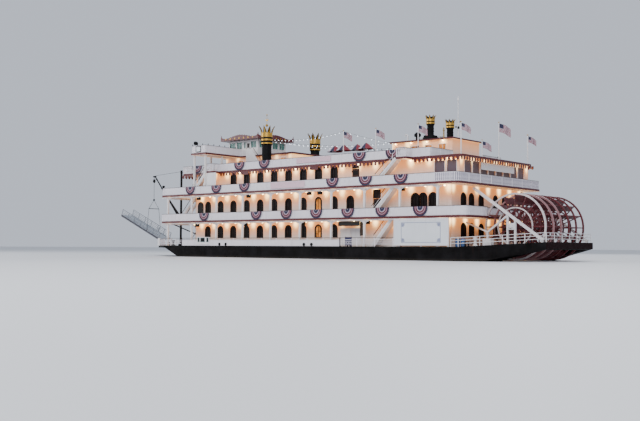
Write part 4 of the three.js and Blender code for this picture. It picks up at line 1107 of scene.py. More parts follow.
@dataclass
class Door:
    """One hinged leaf: panels, a light and a handle, on the leaf's own body."""

    name: str
    hinge_x: float
    lead_x: float
    sign: int
    face: float
    opens: int
    deck: float
    finish: Finish = DOOR_WOOD
    height: float = 6.9
    thick: float = 0.3
    foot: float = 0.28
    rail: float = 2.6
    glazed: bool = True
    transom: float = 0.0

    def build(self) -> None:
        """Dresses the leaf and adds its joinery on the outer face."""
        dress(self.finish, self.name)
        outer = Face.side(self.sign * (self.face + (0 if self.opens > 0 else self.thick)))
        middle, half = (self.hinge_x + self.lead_x) / 2, abs(self.hinge_x - self.lead_x) / 2 - 0.35
        left, right, low, high = middle - half, middle + half, self.deck + self.foot, self.deck + self.height
        joinery = Shape(f"{self.name}_joinery", self.finish, "door_maroon")
        light, metal = pieces(self.name, light=DARK_PANE, furniture=BRASS)
        knee, lock, top = low + 0.4, low + self.rail, high - 0.55
        outer.rim(joinery, (left, right, knee, lock), 0.15, 0, 0.07)
        outer.board(joinery, oblong(left + 0.4, right - 0.4, knee + 0.4, lock - 0.4), 0, 0.07)
        outer.rim(joinery, (left, right, lock + 0.4, top), 0.2, 0, 0.07)
        pane = oblong(left + 0.2, right - 0.2, lock + 0.6, top - 0.2)
        outer.board(light if self.glazed else joinery, pane, 0, 0.03)
        lead = self.lead_x + copysign(0.22, self.hinge_x - self.lead_x)
        outer.board(metal, oblong(lead - 0.08, lead + 0.08, low + 2.45, low + 3.15), 0, 0.04)
        metal.turned((lead, outer.origin[1], low + 2.9),
                     [(0.03, 0), (0.03, 0.12), (0.09, 0.15), (0.09, 0.2), (0.04, 0.22)], 10, outer.out)
        place(joinery, light, metal, body=f"{self.name}_leaf")
        if self.transom:
            wall, above = Face.side(self.sign * CABIN_HALF), Shape(f"{self.name}_transom", SASH)
            low = self.deck + self.height + 0.15
            high = low + self.transom
            wall.board(above, oblong(left - 0.1, right + 0.1, low, high), 0, 0.08)
            wall.board(above, oblong(left - 0.25, right + 0.25, low - 0.1, high + 0.12), 0, 0.16,
                       oblong(left, right, low + 0.12, high - 0.12))
            above.place()


# Rails, columns and decks

CAP = ((-0.12, -0.14), (0.12, -0.14), (0.15, -0.08), (0.08, 0), (-0.08, 0), (-0.15, -0.08))
BALUSTER = ((0.8, 0), (0.8, 0.1), (0.38, 0.2), (1, 0.42), (0.62, 0.68), (0.36, 0.82), (0.8, 0.9), (0.8, 1))
BALUSTER_PITCH, BALUSTER_HALF = 0.75, 0.21
KNOB = ((0.12, -0.02), (0.08, 0.12), (0.2, 0.32), (0.16, 0.52), (0.04, 0.68))
KNOB_PITCH = 3.2
BRACKET = ((0, 0), (0, -1.6), (0.25, -1.15), (0.3, -0.7), (0.6, -0.45), (1.1, -0.3), (1.5, -0.2), (1.7, 0))
DISH = ((0.2, 0), (0.2, -0.08), (0.56, -0.2), (0.58, -0.26), (0.5, -0.26), (0.16, -0.14))


class Filling(Enum):
    """What stands between a rail's posts."""

    BALUSTERS = "sawn balusters on a panel"
    OPEN_BALUSTERS = "sawn balusters alone"
    # The grey panel is painted as the shade behind the balusters.
    SHADED_BALUSTERS = "sawn balusters before a grey panel"
    BARS = "three bars"
    BULWARK = "a plated bulwark"


@dataclass
class Railing:
    """A stretch of railing on a deck's edge, with a thin varnished cap on white posts."""

    name: str
    deck: float
    line: Line
    filling: Filling
    replaces: tuple[str, ...] = ()

    def build(self) -> None:
        """Builds the cap, posts and filling."""
        low, top = self.deck + 0.02, self.deck + RAIL_HEIGHT
        wood, white, back = pieces(self.name, cap=RAIL_CAP, frame=RAIL_WHITE, backing=RAIL_SHADE)
        wood.carried([(out, top + up) for out, up in CAP], self.line)
        head = top - 0.14
        for at, way in self.line.stations(WINDOW_PITCH):
            white.slab(oblong(-0.15, 0.15, low, head), at, way, 0.3)
        if self.filling is Filling.BARS:
            for share in (0.28, 0.52, 0.76):
                z = low + share * (head - low)
                white.carried(oblong(-0.09, 0.09, z - 0.09, z + 0.09), self.line)
        elif self.filling is Filling.BULWARK:
            high = low + 0.74 * (head - low)
            lip = high + 0.12
            white.carried([(-0.06, low), (0.06, low), (0.06, high), (0.14, high), (0.14, lip), (-0.14, lip),
                           (-0.14, high), (-0.06, high)], self.line)
            for at, way in self.line.stations(WINDOW_PITCH / 2):
                white.slab(oblong(-0.06, 0.06, low, high), at, way, 0.24)
        else:
            self.balusters(white, back, low, head)
        wood.place()
        white.place(replaces=self.replaces)
        back.place()

    def balusters(self, white: Shape, back: Shape, low: float, head: float) -> None:
        """Adds sawn flat balusters between two rails, and the panel behind them.

        Args:
            white: The painted piece.
            back: The piece painted grey as shade behind the balusters.
            low: Height of the deck.
            head: Underside of the cap.
        """
        for z0, z1, half in ((low + 0.12, low + 0.3, 0.09), (head - 0.2, head - 0.02, 0.08)):
            white.carried(oblong(-half, half, z0, z1), self.line)
        if self.filling is not Filling.OPEN_BALUSTERS:
            # Behind shaded balusters the panel is painted shade instead of white.
            panel = white if self.filling is Filling.BALUSTERS else back
            panel.carried(oblong(-0.02, 0.02, low, head), self.line)
        side = [(share * BALUSTER_HALF, low + 0.28 + up * (head - low - 0.46)) for share, up in BALUSTER]
        outline = [*side, *((-x, z) for x, z in reversed(side))]
        for at, way in self.line.stations(BALUSTER_PITCH):
            white.slab(outline, at, way, 0.14)


@dataclass
class Rails:
    """Every railing of the boat."""

    corner: float = 2.6
    bay: float = 15.8
    horn_x: float = -3.3
    board_x: float = 26.4
    roof_aft_x: float = 14.5
    open_roof_x: float = 124.5
    bulwark_x: Span = (50.6, 139.2)
    bow_tip: Point = (184.5, 4.8)
    wing_x: Span = (124.5, 133.5)
    bridge_half: float = 9.6
    bridge_front_x: float = 135.5
    landings: tuple[Span, ...] = ((21.8, 26), (121.3, 125.5))

    def build(self) -> None:
        """Builds the rails of each deck, and lets them stand for the CAD's panels."""
        edge, (aft, fore), (tip_x, tip_y) = RAIL_Y, self.bulwark_x, self.bow_tip
        for side, sign in SIDES.items():
            name, y = f"main_rail_{side}", sign * edge
            for part, line, filling, replaced in (
                    ("stern", Line([(self.board_x, y), (aft, y)]), Filling.BARS, ()),
                    ("side", Line([(aft, y), (fore, y)]), Filling.BULWARK, (name,)),
                    ("bow", rounded([(fore, y), (150.6, y), (tip_x, sign * tip_y)], 8), Filling.BARS, ())):
                Railing(f"{name}_{part}", MAIN_DECK, line, filling, replaced).build()
        bay, horn, nose = self.bay + RAIL_INSET, self.horn_x + RAIL_INSET, DECK_FRONT_X - RAIL_INSET
        outer = rounded([(horn, bay), (horn, edge), (nose, edge), (nose, -edge), (horn, -edge), (horn, -bay)], 2.1)
        second = Line([(RAIL_INSET, -bay), (RAIL_INSET, bay), *outer.points], True)
        Railing("deck_2_balustrade", DECK_2, second, Filling.BALUSTERS, ("deck_2_rail",)).build()
        third = rounded([(9, edge), (nose, edge), (nose, -edge), (9, -edge)], self.corner)
        Railing("deck_3_balustrade", DECK_3, third, Filling.BALUSTERS, ("deck_3_rail",)).build()
        aft = rounded([(9, -edge), (RAIL_INSET, -edge), (RAIL_INSET, edge), (9, edge)], self.corner)
        Railing("deck_3_aft_balustrade", DECK_3, aft, Filling.SHADED_BALUSTERS).build()
        self.roof()

    def roof(self) -> None:
        """Builds the rails of the roof deck, its landings and the bridge."""
        edge, rim, nose, aft = RAIL_Y, ROOF_HALF - RAIL_INSET, ROOF_FRONT_X - RAIL_INSET, self.roof_aft_x
        knobs, rise = Shape("bridge_rail_knobs", GEAR_BLACK), UP * RAIL_HEIGHT
        for side, sign in SIDES.items():
            line = rounded([(aft, sign * 10.4), (aft, sign * rim), (self.open_roof_x, sign * rim)], 0.6)
            replaced = ("roof_rail",) if sign > 0 else ()
            Railing(f"roof_balustrade_{side}", ROOF_DECK, line, Filling.BALUSTERS, replaced).build()
            for i, (start, end) in enumerate(self.landings):
                corners = ((start + 0.2, ROOF_HALF + 0.1), (start + 0.2, 28.8), (end, 28.8))
                landing = Line([(x, sign * y) for x, y in corners])
                Railing(f"landing_{side}_{i}", ROOF_DECK, landing, Filling.OPEN_BALUSTERS).build()
            for k in range(9):
                knobs.turned(Vector((aft + 1.6 + k * KNOB_PITCH, sign * rim, ROOF_DECK)) + rise, KNOB, 10)
        front = rounded([(self.open_roof_x, rim), (nose, rim), (nose, -rim), (self.open_roof_x, -rim)], 0.6)
        Railing("roof_front_balustrade", ROOF_DECK, front, Filling.OPEN_BALUSTERS).build()
        back, fore = self.wing_x[0] + RAIL_INSET, self.wing_x[1] - RAIL_INSET
        inner, top = self.bridge_half - RAIL_INSET, self.bridge_front_x - RAIL_INSET
        half = [(back, inner), (back, edge), (fore, edge), (fore, inner), (top, inner)]
        wing = rounded([*half, *((x, -y) for x, y in reversed(half))], 0.25)
        Railing("bridge_balustrade", BRIDGE_DECK, wing, Filling.BALUSTERS, ("bridge_rail",)).build()
        for at, _way in wing.stations(KNOB_PITCH):
            knobs.turned(at + UP * BRIDGE_DECK + rise, KNOB, 10)
        knobs.place()


@dataclass
class Columns:
    """The main deck's and deck 2's columns: bases, capitals and sawn brackets on the CAD's posts."""

    half: float = 0.35
    nose_y: float = 10.0
    count: int = 10

    def build(self) -> None:
        """Dresses the posts and adds their mouldings."""
        row = [(FIRST_COLUMN_X + i * COLUMN_PITCH, COLUMN_Y) for i in range(self.count)]
        row.append((DECK_FRONT_X - 1.6, self.nose_y))
        for name, deck, above in (("main_deck_columns", MAIN_DECK, DECK_2), ("deck_2_columns", DECK_2, DECK_3)):
            dress(WHITE, name)
            trim, head = Shape(f"{name}_mouldings", WHITE), above - SLAB - 0.6
            for x, y in row:
                for z0, z1, grow in ((deck + 0.02, deck + 0.9, 0.12), (deck + 0.9, deck + 1.05, 0.06),
                                     (head - 1.75, head - 1.6, 0.06), (head - 0.25, head, 0.1)):
                    trim.post((x, y), self.half + grow, (z0, z1))
                for way in SIGNS:
                    across = Vector((way, 0, 0) if y > self.nose_y else (0, way, 0))
                    trim.slab(BRACKET, Vector((x, y, head)) + across * self.half, across, 0.14)
            place(trim, twins=True)


@dataclass
class DeckLamps:
    """Round lamps under a deck, one between each two windows on both sides, and a row across an end."""

    name: str
    ceiling: float
    y: float
    skip: tuple[Span, ...]
    end_x: float | None = None
    span: Span = (4, 137)
    end_ys: tuple[float, ...] = (4, 12, 20)
    radius: float = 0.36

    def build(self) -> None:
        """Builds the dishes and their bulbs."""
        dish, glass = pieces(self.name, dishes=WHITE, bulbs=LAMP_GLASS)
        ends = [(x - FIRST_LAMP_X) / WINDOW_PITCH for x in self.span]
        row = [FIRST_LAMP_X + i * WINDOW_PITCH for i in range(ceil(ends[0]), floor(ends[1]) + 1)]
        places = [(x, self.y) for x in row if not any(a < x < b for a, b in self.skip)]
        if self.end_x is not None:
            places += [(self.end_x, y) for y in self.end_ys]
        r = self.radius
        bulb = ((0.1, -0.12), (r * 0.8, -0.24), (r, -0.42), (r * 0.8, -0.58), (r * 0.4, -0.68), (0.04, -0.7))
        for x, y in places:
            dish.turned((x, y, self.ceiling), DISH, 12)
            glass.turned((x, y, self.ceiling), bulb, 10)
        place(dish, glass, twins=True)


@dataclass
class Fringe:
    """The red band and hanging boards round the roof deck's edge, with amber lamps at the stern."""

    pitch: float = 1.75
    half_width: float = 0.5
    drop: float = 1.35
    plates: tuple[Span, ...] = ((103.6, 107.4), (65.6, 69.4))
    stair_gaps: tuple[Span, ...] = ((22, 34.5), (121.5, 131))
    lamp_front_x: float = 30.0

    def build(self) -> None:
        """Builds the band, the boards and the lamps."""
        boards, lamps = Shape("roof_fringe_boards", FRINGE_RED), Shape("stern_fringe_lamps", AMBER_GLASS)
        half, aft, nose = ROOF_HALF - 0.02, ROOF_AFT_X + 0.02, ROOF_FRONT_X - 0.02
        under, w, low = ROOF_DECK - SLAB + 0.04, self.half_width, -self.drop
        tab = [(-w, 0), (w, 0), (w, low + 0.3), (w / 2, low + 0.1), (0, low), (-w / 2, low + 0.1), (-w, low + 0.3)]
        line = Line([(aft, -half), (nose, -half), (nose, half), (aft, half)], True)
        for at, way in line.stations(self.pitch):
            left, beside = UP.cross(way), abs(at.y) > half - 0.5
            if beside and any(a < at.x < b for a, b in (*self.stair_gaps, *self.plates)):
                continue
            at.z = under
            if at.x < (self.lamp_front_x if beside else aft + 1):
                lamps.ball(at + way * self.pitch / 2 + left * 0.4 - UP, 0.16, 8, 1.3)
            boards.prism(tab, at, way, UP, left * 0.12)
        stops = (aft, *self.stair_gaps[0], *self.stair_gaps[1], nose)
        for sign in SIGNS:
            face = Face.side(sign * (half - 0.14))
            for start, end in zip(stops[::2], stops[1::2]):
                face.board(boards, oblong(start, end, under - 0.3, under), 0, 0.12)
            for start, end in self.plates:
                plate = (start, end, under - self.drop - 0.1, under)
                face.board(boards, oblong(*plate), 0, 0.14)
                face.rim(boards, plate, 0.3, 0.13, 0.2)
        place(boards, lamps)


@dataclass(frozen=True)
class Flight:
    """One flight of side stairs, as the CAD carries it: X of its foot and head, and the decks it joins."""

    name: str
    foot: float
    head: float
    low: float
    high: float


@dataclass
class SideStairs:
    """Stringers, treads and handrails on the flights at the boat's sides."""

    flights: tuple[Flight, ...] = (
        Flight("main", 36.5, 27.5, MAIN_DECK, DECK_2), Flight("deck_2", 37.5, 26.6, DECK_2, DECK_3),
        Flight("deck_3", 36, 26, DECK_3, ROOF_DECK), Flight("forward", 134.5, 125.5, DECK_3, ROOF_DECK),
    )
    steps: int = 12
    rise: float = 2.9

    def build(self) -> None:
        """Builds both sides' flights, and the screen outside the forward one."""
        for flight in self.flights:
            shapes = pieces(f"{flight.name}_stair", stringers=WHITE, handrails=RAIL_CAP, treads=STAGE_DARK)
            (white, wood, tread), rise = shapes, UP * self.rise
            for edge in SIGNS:
                y = STAIR_Y + edge * (STAIR_HALF + 0.07)
                base = Vector((flight.foot + 0.3, y, flight.low + 0.2))
                top = Vector((flight.head + 0.4, y, flight.high - 0.3))
                white.beam(base, top, 0.12, 0.75)
                wood.beam(base.lerp(top, 0.08) + rise, base.lerp(top, 0.94) + rise, 0.16, 0.2)
                white.beam(base.lerp(top, 0.12) + rise * 0.55, base.lerp(top, 0.88) + rise * 0.55, 0.08, 0.1)
                for at in (base.lerp(top, share) for share in (0.12, 0.5, 0.88)):
                    white.post(at, 0.07, (at.z, at.z + self.rise - 0.05))
            going, step = (flight.foot - flight.head) / self.steps, (flight.high - flight.low) / self.steps
            for i in range(self.steps - 1):
                x, z = flight.foot - i * going, flight.low + (i + 1) * step
                tread.box((x - 0.3, x + 0.08), (STAIR_Y - STAIR_HALF, STAIR_Y + STAIR_HALF), (z, z + 0.06))
            if flight.name == "forward":
                self.screen(white)
            place(*shapes, twins=True)

    def screen(self, white: Shape) -> None:
        """Adds the boarded screen outside the forward landings, with a moulding on its sloping edge.

        Args:
            white: The painted piece.
        """
        low, high, face = DECK_3 + 0.1, ROOF_DECK - SLAB - 0.02, Face.side(STAIR_Y + STAIR_HALF + 0.2)
        face.board(white, [(128.2, low), (124.2, high), (119, high), (119, low)], 0, 0.1)
        face.board(white, [(128.6, low), (128, low), (124, high), (124.6, high)], 0.1, 0.2)


@dataclass
class Decks:
    """The deck slabs' finishes, and sleeves and trucks on the roof deck's flagpoles."""

    poles: tuple[tuple[float, float, float, float], ...] = (
        (54, 24.2, 54.6, 0.13), (38.7, 24.2, 54.2, 0.13), (20, 24.2, 54.2, 0.13), (2.8, 23.6, 53.6, 0.13),
        (2.8, 9.6, 48.6, 0.13), (2.8, -2.2, 56.2, 0.15), (2.8, -24.2, 53.7, 0.25),
    )

    def build(self) -> None:
        """Dresses the slabs and sheathes the poles."""
        for node, level, glow in (("deck_2", DECK_2, 1), ("deck_3", DECK_3, 1), ("roof_deck", ROOF_DECK, 0.9),
                                  ("bridge_deck", BRIDGE_DECK, 0.5), ("deckhouse_roof", 50.6, 0.6)):
            dress(deck_paint(node, level, glow), node)
        white, gilt = pieces("flagpole", sleeves=WHITE, trucks=GOLD)
        for x, y, top, r in self.poles:
            white.turned((x, y, ROOF_DECK),
                         [(r + 0.2, 0), (r + 0.2, 0.15), (r + 0.05, 0.3), (r + 0.03, top - ROOF_DECK - 0.02)], 12)
            gilt.ball((x, y, top - 0.1), r + 0.12, 10, 0.8)
        place(white, gilt)


# Cloth


def woven(rows: int, columns: int, at: Callable[[float, float], Point]) -> list[list[Point]]:
    """Returns a grid of points, from a function of the shares down and along it."""
    return [[at(i / rows, j / columns) for j in range(columns + 1)] for i in range(rows + 1)]


@dataclass
class Sheet:
    """A piece of cloth: a grid of points in feet, with a finish for each of its cells."""

    name: str
    grid: Sequence[Sequence[Point]]
    held: str
    rests_on: str
    finish_at: Callable[[float, float], Finish]
    flat: Span | None = None

    def place(self) -> None:
        rows, columns = len(self.grid) - 1, len(self.grid[0]) - 1
        cells = list(product(range(rows), range(columns)))
        corners = (i * (columns + 1) + j for i, j in cells)
        looks = [self.finish_at((i + 0.5) / rows, (j + 0.5) / columns) for i, j in cells]
        finishes = list(dict.fromkeys(looks))
        mesh = bpy.data.meshes.new(self.name)
        mesh.from_pydata([to_model(p) for row in self.grid for p in row], [],
                         [(a, a + 1, a + columns + 2, a + columns + 1) for a in corners])
        for finish in finishes:
            mesh.materials.append(finish.material())
        mesh.polygons.foreach_set("material_index", [finishes.index(look) for look in looks])
        mesh.shade_smooth()
        made = linked(self.name, mesh)
        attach(made, "boat")
        size = sum(face.area for face in mesh.polygons)
        LOG.info("%s: cloth of %.2f square metres", self.name, size)


@dataclass
class Bunting:
    """Pleated half-round fans of cloth that hang from the rails."""

    radius: float = 3.05
    pleats: int = 13
    rings: int = 16
    bands: tuple[tuple[float, Finish], ...] = ((0.34, FLAG_BLUE), (0.46, BUNTING_WHITE), (0.60, BUNTING_RED),
                                               (0.70, BUNTING_WHITE), (0.84, BUNTING_RED), (1, FLAG_BLUE))
    rows: tuple[tuple[str, float, float, tuple[float, ...]], ...] = (
        ("roof", ROOF_DECK, ROOF_HALF, (135.3, 109.1, 94.6, 45.5, 30.4)),
        ("deck_3", DECK_3, HALF_BEAM, (133.8, 117.4, 100.7, 54.1, 38.6, 23)),
        ("deck_2", DECK_2, HALF_BEAM, (124.8, 93.8, 77.4, 62, 46.7, 31, 14.8)),
    )

    def colour(self, share: float, _along: float) -> Finish:
        """Returns the cloth of each ring, from the middle out."""
        return next(finish for limit, finish in self.bands if share < limit)

    def fan(self, x: float, y: float, z: float, sign: int) -> list[list[Point]]:
        """Shapes one fan, ring by ring.

        Args:
            x: X of the middle of its top edge.
            y: Y of the same.
            z: Its height.
            sign: 1 where it hangs to port, -1 to starboard.

        Returns:
            The rings from the middle out, each from one end of the half circle to the other.
        """
        def at(out: float, along: float) -> Point:
            """Returns a place on the fan."""
            share, drop = 0.05 + 0.95 * out, sin(pi * along)
            fold = 0.112 * share * sin(2 * pi * self.pleats * along)
            reach = self.radius * share * (1 + 0.05 * drop)
            return (x - reach * cos(pi * along), y + sign * (0.14 + 0.14 * drop + fold),
                    z - reach * drop * 0.98 - 0.25 * sqrt(abs(drop)))
        return woven(self.rings, self.pleats * 4, at)

    def build(self) -> None:
        """Hangs the fans on both sides."""
        for (name, deck, half, places), (side, sign) in product(self.rows, SIDES.items()):
            for i, x in enumerate(places):
                rail = f"{name}_balustrade_cap"
                if name == "roof":
                    rail = "roof_front_balustrade_cap" if x > 125 else f"roof_balustrade_{side}_cap"
                grid = self.fan(x, sign * (half - RAIL_INSET + 0.2), deck + RAIL_HEIGHT - 0.05, sign)
                Sheet(f"bunting_{name}_{side}_{i}", grid, "gathered", rail, self.colour).place()


@dataclass
class Banner:
    """A blank banner tied along its top edge."""

    name: str
    start: Point
    end: Point
    out: Point
    drop: float
    held_by: str
    finish: Finish

    def build(self) -> None:
        """Hangs the banner, slack between its ties."""
        a, b, out = Vector(self.start), Vector(self.end), Vector(self.out)

        def at(down: float, along: float) -> Point:
            """Returns a place on the banner."""
            ripple = 0.06 * sin(along * pi * 9) * down + 0.03 * sin(along * 31) * (1 - down)
            sag = 0.07 * abs(sin(along * pi * 5))
            return a.lerp(b, along) + out * (0.05 + abs(ripple)) - UP * (sag + self.drop * down)
        Sheet(self.name, woven(8, 48, at), "hung", self.held_by, lambda *_at: self.finish,
              ((b - a).length * 1.01, self.drop * 1.01)).place()


@dataclass
class Flag:
    """A striped flag with a plain blue corner, drooping aft and to starboard of its pole."""

    name: str
    pole: Point
    length: float = 3.8
    drop: float = 2.3
    way: Span = (-0.8, -0.6)

    def colour(self, down: float, along: float) -> Finish:
        """Returns the cloth at a share of the way down and along the flag.

        Args:
            down: Share of the drop.
            along: Share of the length.

        Returns:
            The cloth of the blue corner or of a stripe.
        """
        if along < 0.4 and down < 0.54:
            return FLAG_BLUE
        return FLAG_WHITE if int(down * 13) % 2 else FLAG_RED

    def build(self) -> None:
        """Flies the flag."""
        (x, y, top), (dx, dy) = self.pole, self.way

        def at(down: float, along: float) -> Point:
            """Returns a place on the flag."""
            far = self.length * along
            wave = 0.13 * far * sin(2 * pi * (along * 1.4 + 0.15 * down))
            droop = 0.42 * self.length * along ** 1.6 + self.drop * down
            return (x + dx * far * 0.86 - dy * wave, y + dy * far * 0.86 + dx * wave, top - droop)
        Sheet(self.name, woven(26, 26, at), "hung", "flagpole_sleeves", self.colour,
              (self.length * 1.04, self.drop * 1.02)).place()


@dataclass
class Parasols:
    """Low parasols in red, white and blue gores on the roof deck's sides."""

    places: tuple[Span, ...] = ((63, 18.4), (57.6, 19.6), (52.4, 17.8), (47, 19.2))
    top: float = 49.9
    radius: float = 3.2
    rise: float = 2.4
    gores: int = 12

    def colour(self, _out: float, around: float) -> Finish:
        """Returns the cloth of each gore."""
        return (FLAG_RED, FLAG_RED, FLAG_WHITE, FLAG_BLUE)[int(around * self.gores) % 4]

    def canopy(self, x: float, y: float) -> list[list[Point]]:
        """Shapes one parasol's cloth.

        Args:
            x: X of its pole.
            y: Y of its pole.

        Returns:
            The rings from the pole out.
        """
        steps = self.gores * 2

        def at(out: float, around: float) -> Point:
            """Returns a place on the cloth, which is drawn in and down between the ribs."""
            share, between = 0.04 + 0.96 * out, round(around * steps) % 2
            turn, reach = 2 * pi * around, self.radius * share * (1 - 0.05 * between)
            return (x + reach * cos(turn), y + reach * sin(turn),
                    self.top - self.rise * share ** 1.3 - 0.04 * between)
        return woven(5, steps, at)

    def build(self) -> None:
        """Opens the parasols on both sides."""
        poles, flat = Shape("parasol_poles", WHITE), (2.25 * self.radius, 2.25 * self.radius)
        for (side, sign), (i, (x, y)) in product(SIDES.items(), enumerate(self.places)):
            poles.bar((x, sign * y, ROOF_DECK + 0.1), (x, sign * y, self.top + 0.2), 0.07)
            poles.turned((x, sign * y, ROOF_DECK), [(0.75, 0), (0.75, 0.2), (0.12, 0.35)])
            canopy = self.canopy(x, sign * y)
            Sheet(f"parasol_{side}_{i}", canopy, "stretched", poles.name, self.colour, flat).place()
        poles.place()


# Houses, stacks and gear above the roof deck

SPIKE = ((-0.1, 0, 1), (0.2, 0.1, 1.1), (0.5, 0.34, 0.8), (0.78, 0.66, 0.45), (0.99, 0.98, 0.08))
LANTERN = ((0.15, 0), (0.5, 0.15), (0.72, 0.6), (0.75, 1.4), (0.82, 1.45), (0.82, 1.6), (0.7, 1.6))

@dataclass
class Pilothouse:
    """The pilothouse and the house under it: glazing, crested roof, stair and searchlights."""

    x: Span = (114.6, 132.9)
    half: float = 8.85
    top: float = 57.4
    eave: float = 2.6
    panes: Span = (53.8, 56.6)
    door_front_x: float = 122.0
    texas_aft_x: float = 94.5

    def glaze(self) -> None:
        """Fits the panes and bars of the pilothouse and of the house under it."""
        green, lit = Shape("pilothouse_panes", GREEN_PANE), Shape("texas_panes", LIT_PANE)
        bars, low = Shape("pilothouse_bars", WHITE), (ROOF_DECK + 3, ROOF_DECK + 6)
        for i in range(4):
            start, y0 = 115.6 + i * 4.4, -8 + i * 4.2
            for sign in SIGNS:
                begin, face = self.door_front_x if sign > 0 and i == 1 else start, Face.side(sign * self.half)
                face.light(green, bars, (begin, start + 3.3), self.panes, 1)
                face.light(lit, bars, (98 + i * 8.5, 101 + i * 8.5), low, 1)
            for x, way in zip(self.x, (-1, 1)):
                Face.end(x, way).light(green, bars, (y0, y0 + 3.4), self.panes, 1)
        place(green, lit, bars)

    def cresting(self) -> None:
        """Adds carved knobs, corner horns, gilt discs and a middle finial round the roof's edge."""
        crest, gilt = pieces("pilothouse", crest=CREST_RED, gilding=GOLD)
        (x0, x1), y1 = (self.x[0] - self.eave, self.x[1] + self.eave), self.half + self.eave
        base, middle = self.top + 0.2, (x0 + x1) / 2
        edges = [(Face.side(sign * y1).at(middle, base), (x1 - x0) / 2) for sign in SIGNS]
        edges += [(Face.end(x0, -1).at(0, base), y1), (Face.end(x1, 1).at(0, base), y1)]
        for face, half in edges:
            for k in range(-7, 8):
                high = 0.756 * (1 + cos(pi * k / 8)) + 0.32
                crest.turned(face.point(k / 8 * half, high, -0.42),
                             [(0.1, -0.3), (0.34, -0.1), (0.4, 0.12), (0.2, 0.3), (0.06, 0.42)], 8)
            for k in range(-3, 4):
                gilt.turned(face.point(k * half / 4.2, 0.55, -0.02), [(0.34, -0.03), (0.4, 0), (0.34, 0.03)], 12,
                            face.out)
            face.board(gilt, oblong(-half, half, 0.02, 0.14), -0.02, -0.08)
        for (x, lean), sign in product(((x0 + 0.35, -1), (x1 - 0.35, 1)), SIGNS):
            foot = Vector((x, sign * (y1 - 0.35), base))
            curl = [(0, 0, 0), (0, 0, 1.2), (lean * 0.12, sign * 0.12, 2), (lean * 0.3, sign * 0.3, 2.6)]
            crest.pipe([foot + Vector(step) for step in curl], 0.36, 10, 0.04)
            crest.ball(foot + UP, 0.46, 10)
        crest.turned((middle, 0, self.top + 0.5),
                     [(0.5, 0), (0.5, 0.4), (0.2, 0.6), (0.12, 2.6), (0.3, 2.8), (0.3, 3.1), (0.04, 3.5)], 12)
        place(crest, gilt)

    def stair(self) -> None:
        """Builds the steep stair from the roof deck to the bridge deck, on the port side."""
        white, wood = Shape("bridge_stair", WHITE), Shape("bridge_stair_handrails", RAIL_CAP)
        foot, head, rise = (109.6, 0, ROOF_DECK + 0.05), (116.6, 0, BRIDGE_DECK - 0.2), Vector((-0.3, 0, 3.1))
        for y in (9.95, 12.25):
            a, b = (Vector((x, y, z)) for x, _y, z in (foot, head))
            white.beam(a + UP * 0.3, b, 0.12, 0.8)
            wood.beam(a + rise, b + rise, 0.16, 0.18)
            for share in (0.05, 0.5, 0.95):
                white.bar(a.lerp(b, share), a.lerp(b, share) + rise, 0.07)
        for i in range(11):
            p = Vector(foot).lerp(Vector(head), (i + 0.6) / 11)
            white.box((p.x - 0.35, p.x + 0.35), (9.98, 12.22), (p.z + 0.1, p.z + 0.2))
        low, high = ROOF_DECK + 0.1, BRIDGE_DECK + 2.4
        screen = [(108.9, low), (118.2, low), (118.2, high), (115.2, high), (108.9, low + 2.5)]
        Face.side(12.4).board(white, screen, 0, 0.1)
        place(white, wood)

    def searchlights(self) -> None:
        """Builds a searchlight, its bracket and a framed signal light on each wing's end."""
        black, glass = Shape("searchlights", GEAR_BLACK), Shape("searchlight_lenses", GREEN_PANE)
        steel, pale = Shape("wing_fittings", GALVANISED), Shape("wing_signal_lights", BOARD_PALE)
        x, y, low, z, tilt = 132, 29, BRIDGE_DECK, BRIDGE_DECK + RAIL_HEIGHT, (1, 0, 0.05)
        steel.bar((x, y, low), (x, y, z + 0.6), 0.16)
        black.turned((x - 0.8, y, z + 1.2), LANTERN, 16, tilt)
        glass.turned((x + 0.74, y, z + 1.27), [(0.68, 0), (0.6, 0.1), (0.1, 0.16)], 16, tilt)
        for edge in (-0.85, 0.85):
            black.bar((x, y + edge, z + 1.2), (x, y + edge, z + 0.5), 0.07)
        black.bar((x, y - 0.88, z + 0.55), (x, y + 0.88, z + 0.55), 0.08)
        face = Face.side(HALF_BEAM - 0.25).at(127.4, low + 0.35)
        face.rim(black, (0, 3.2, 0, 2.5), 0.25, 0, 0.2)
        face.board(pale, oblong(0.25, 2.95, 0.25, 2.25), 0, 0.12)
        place(black, glass, steel, pale, twins=True)

    def build(self) -> None:
        """Dresses the houses and builds their details."""
        dress(WHITE, "pilothouse_walls")
        dress(wall_paint("texas_house_paint", BRIDGE_DECK - SLAB, 95.4, glow=0.5), "texas_house_walls")
        dress(CREST_RED, "pilothouse_roof")
        house_door("texas_aft_door", Face.end(self.texas_aft_x + 0.35, -1))
        self.glaze()
        self.cresting()
        self.stair()
        self.searchlights()


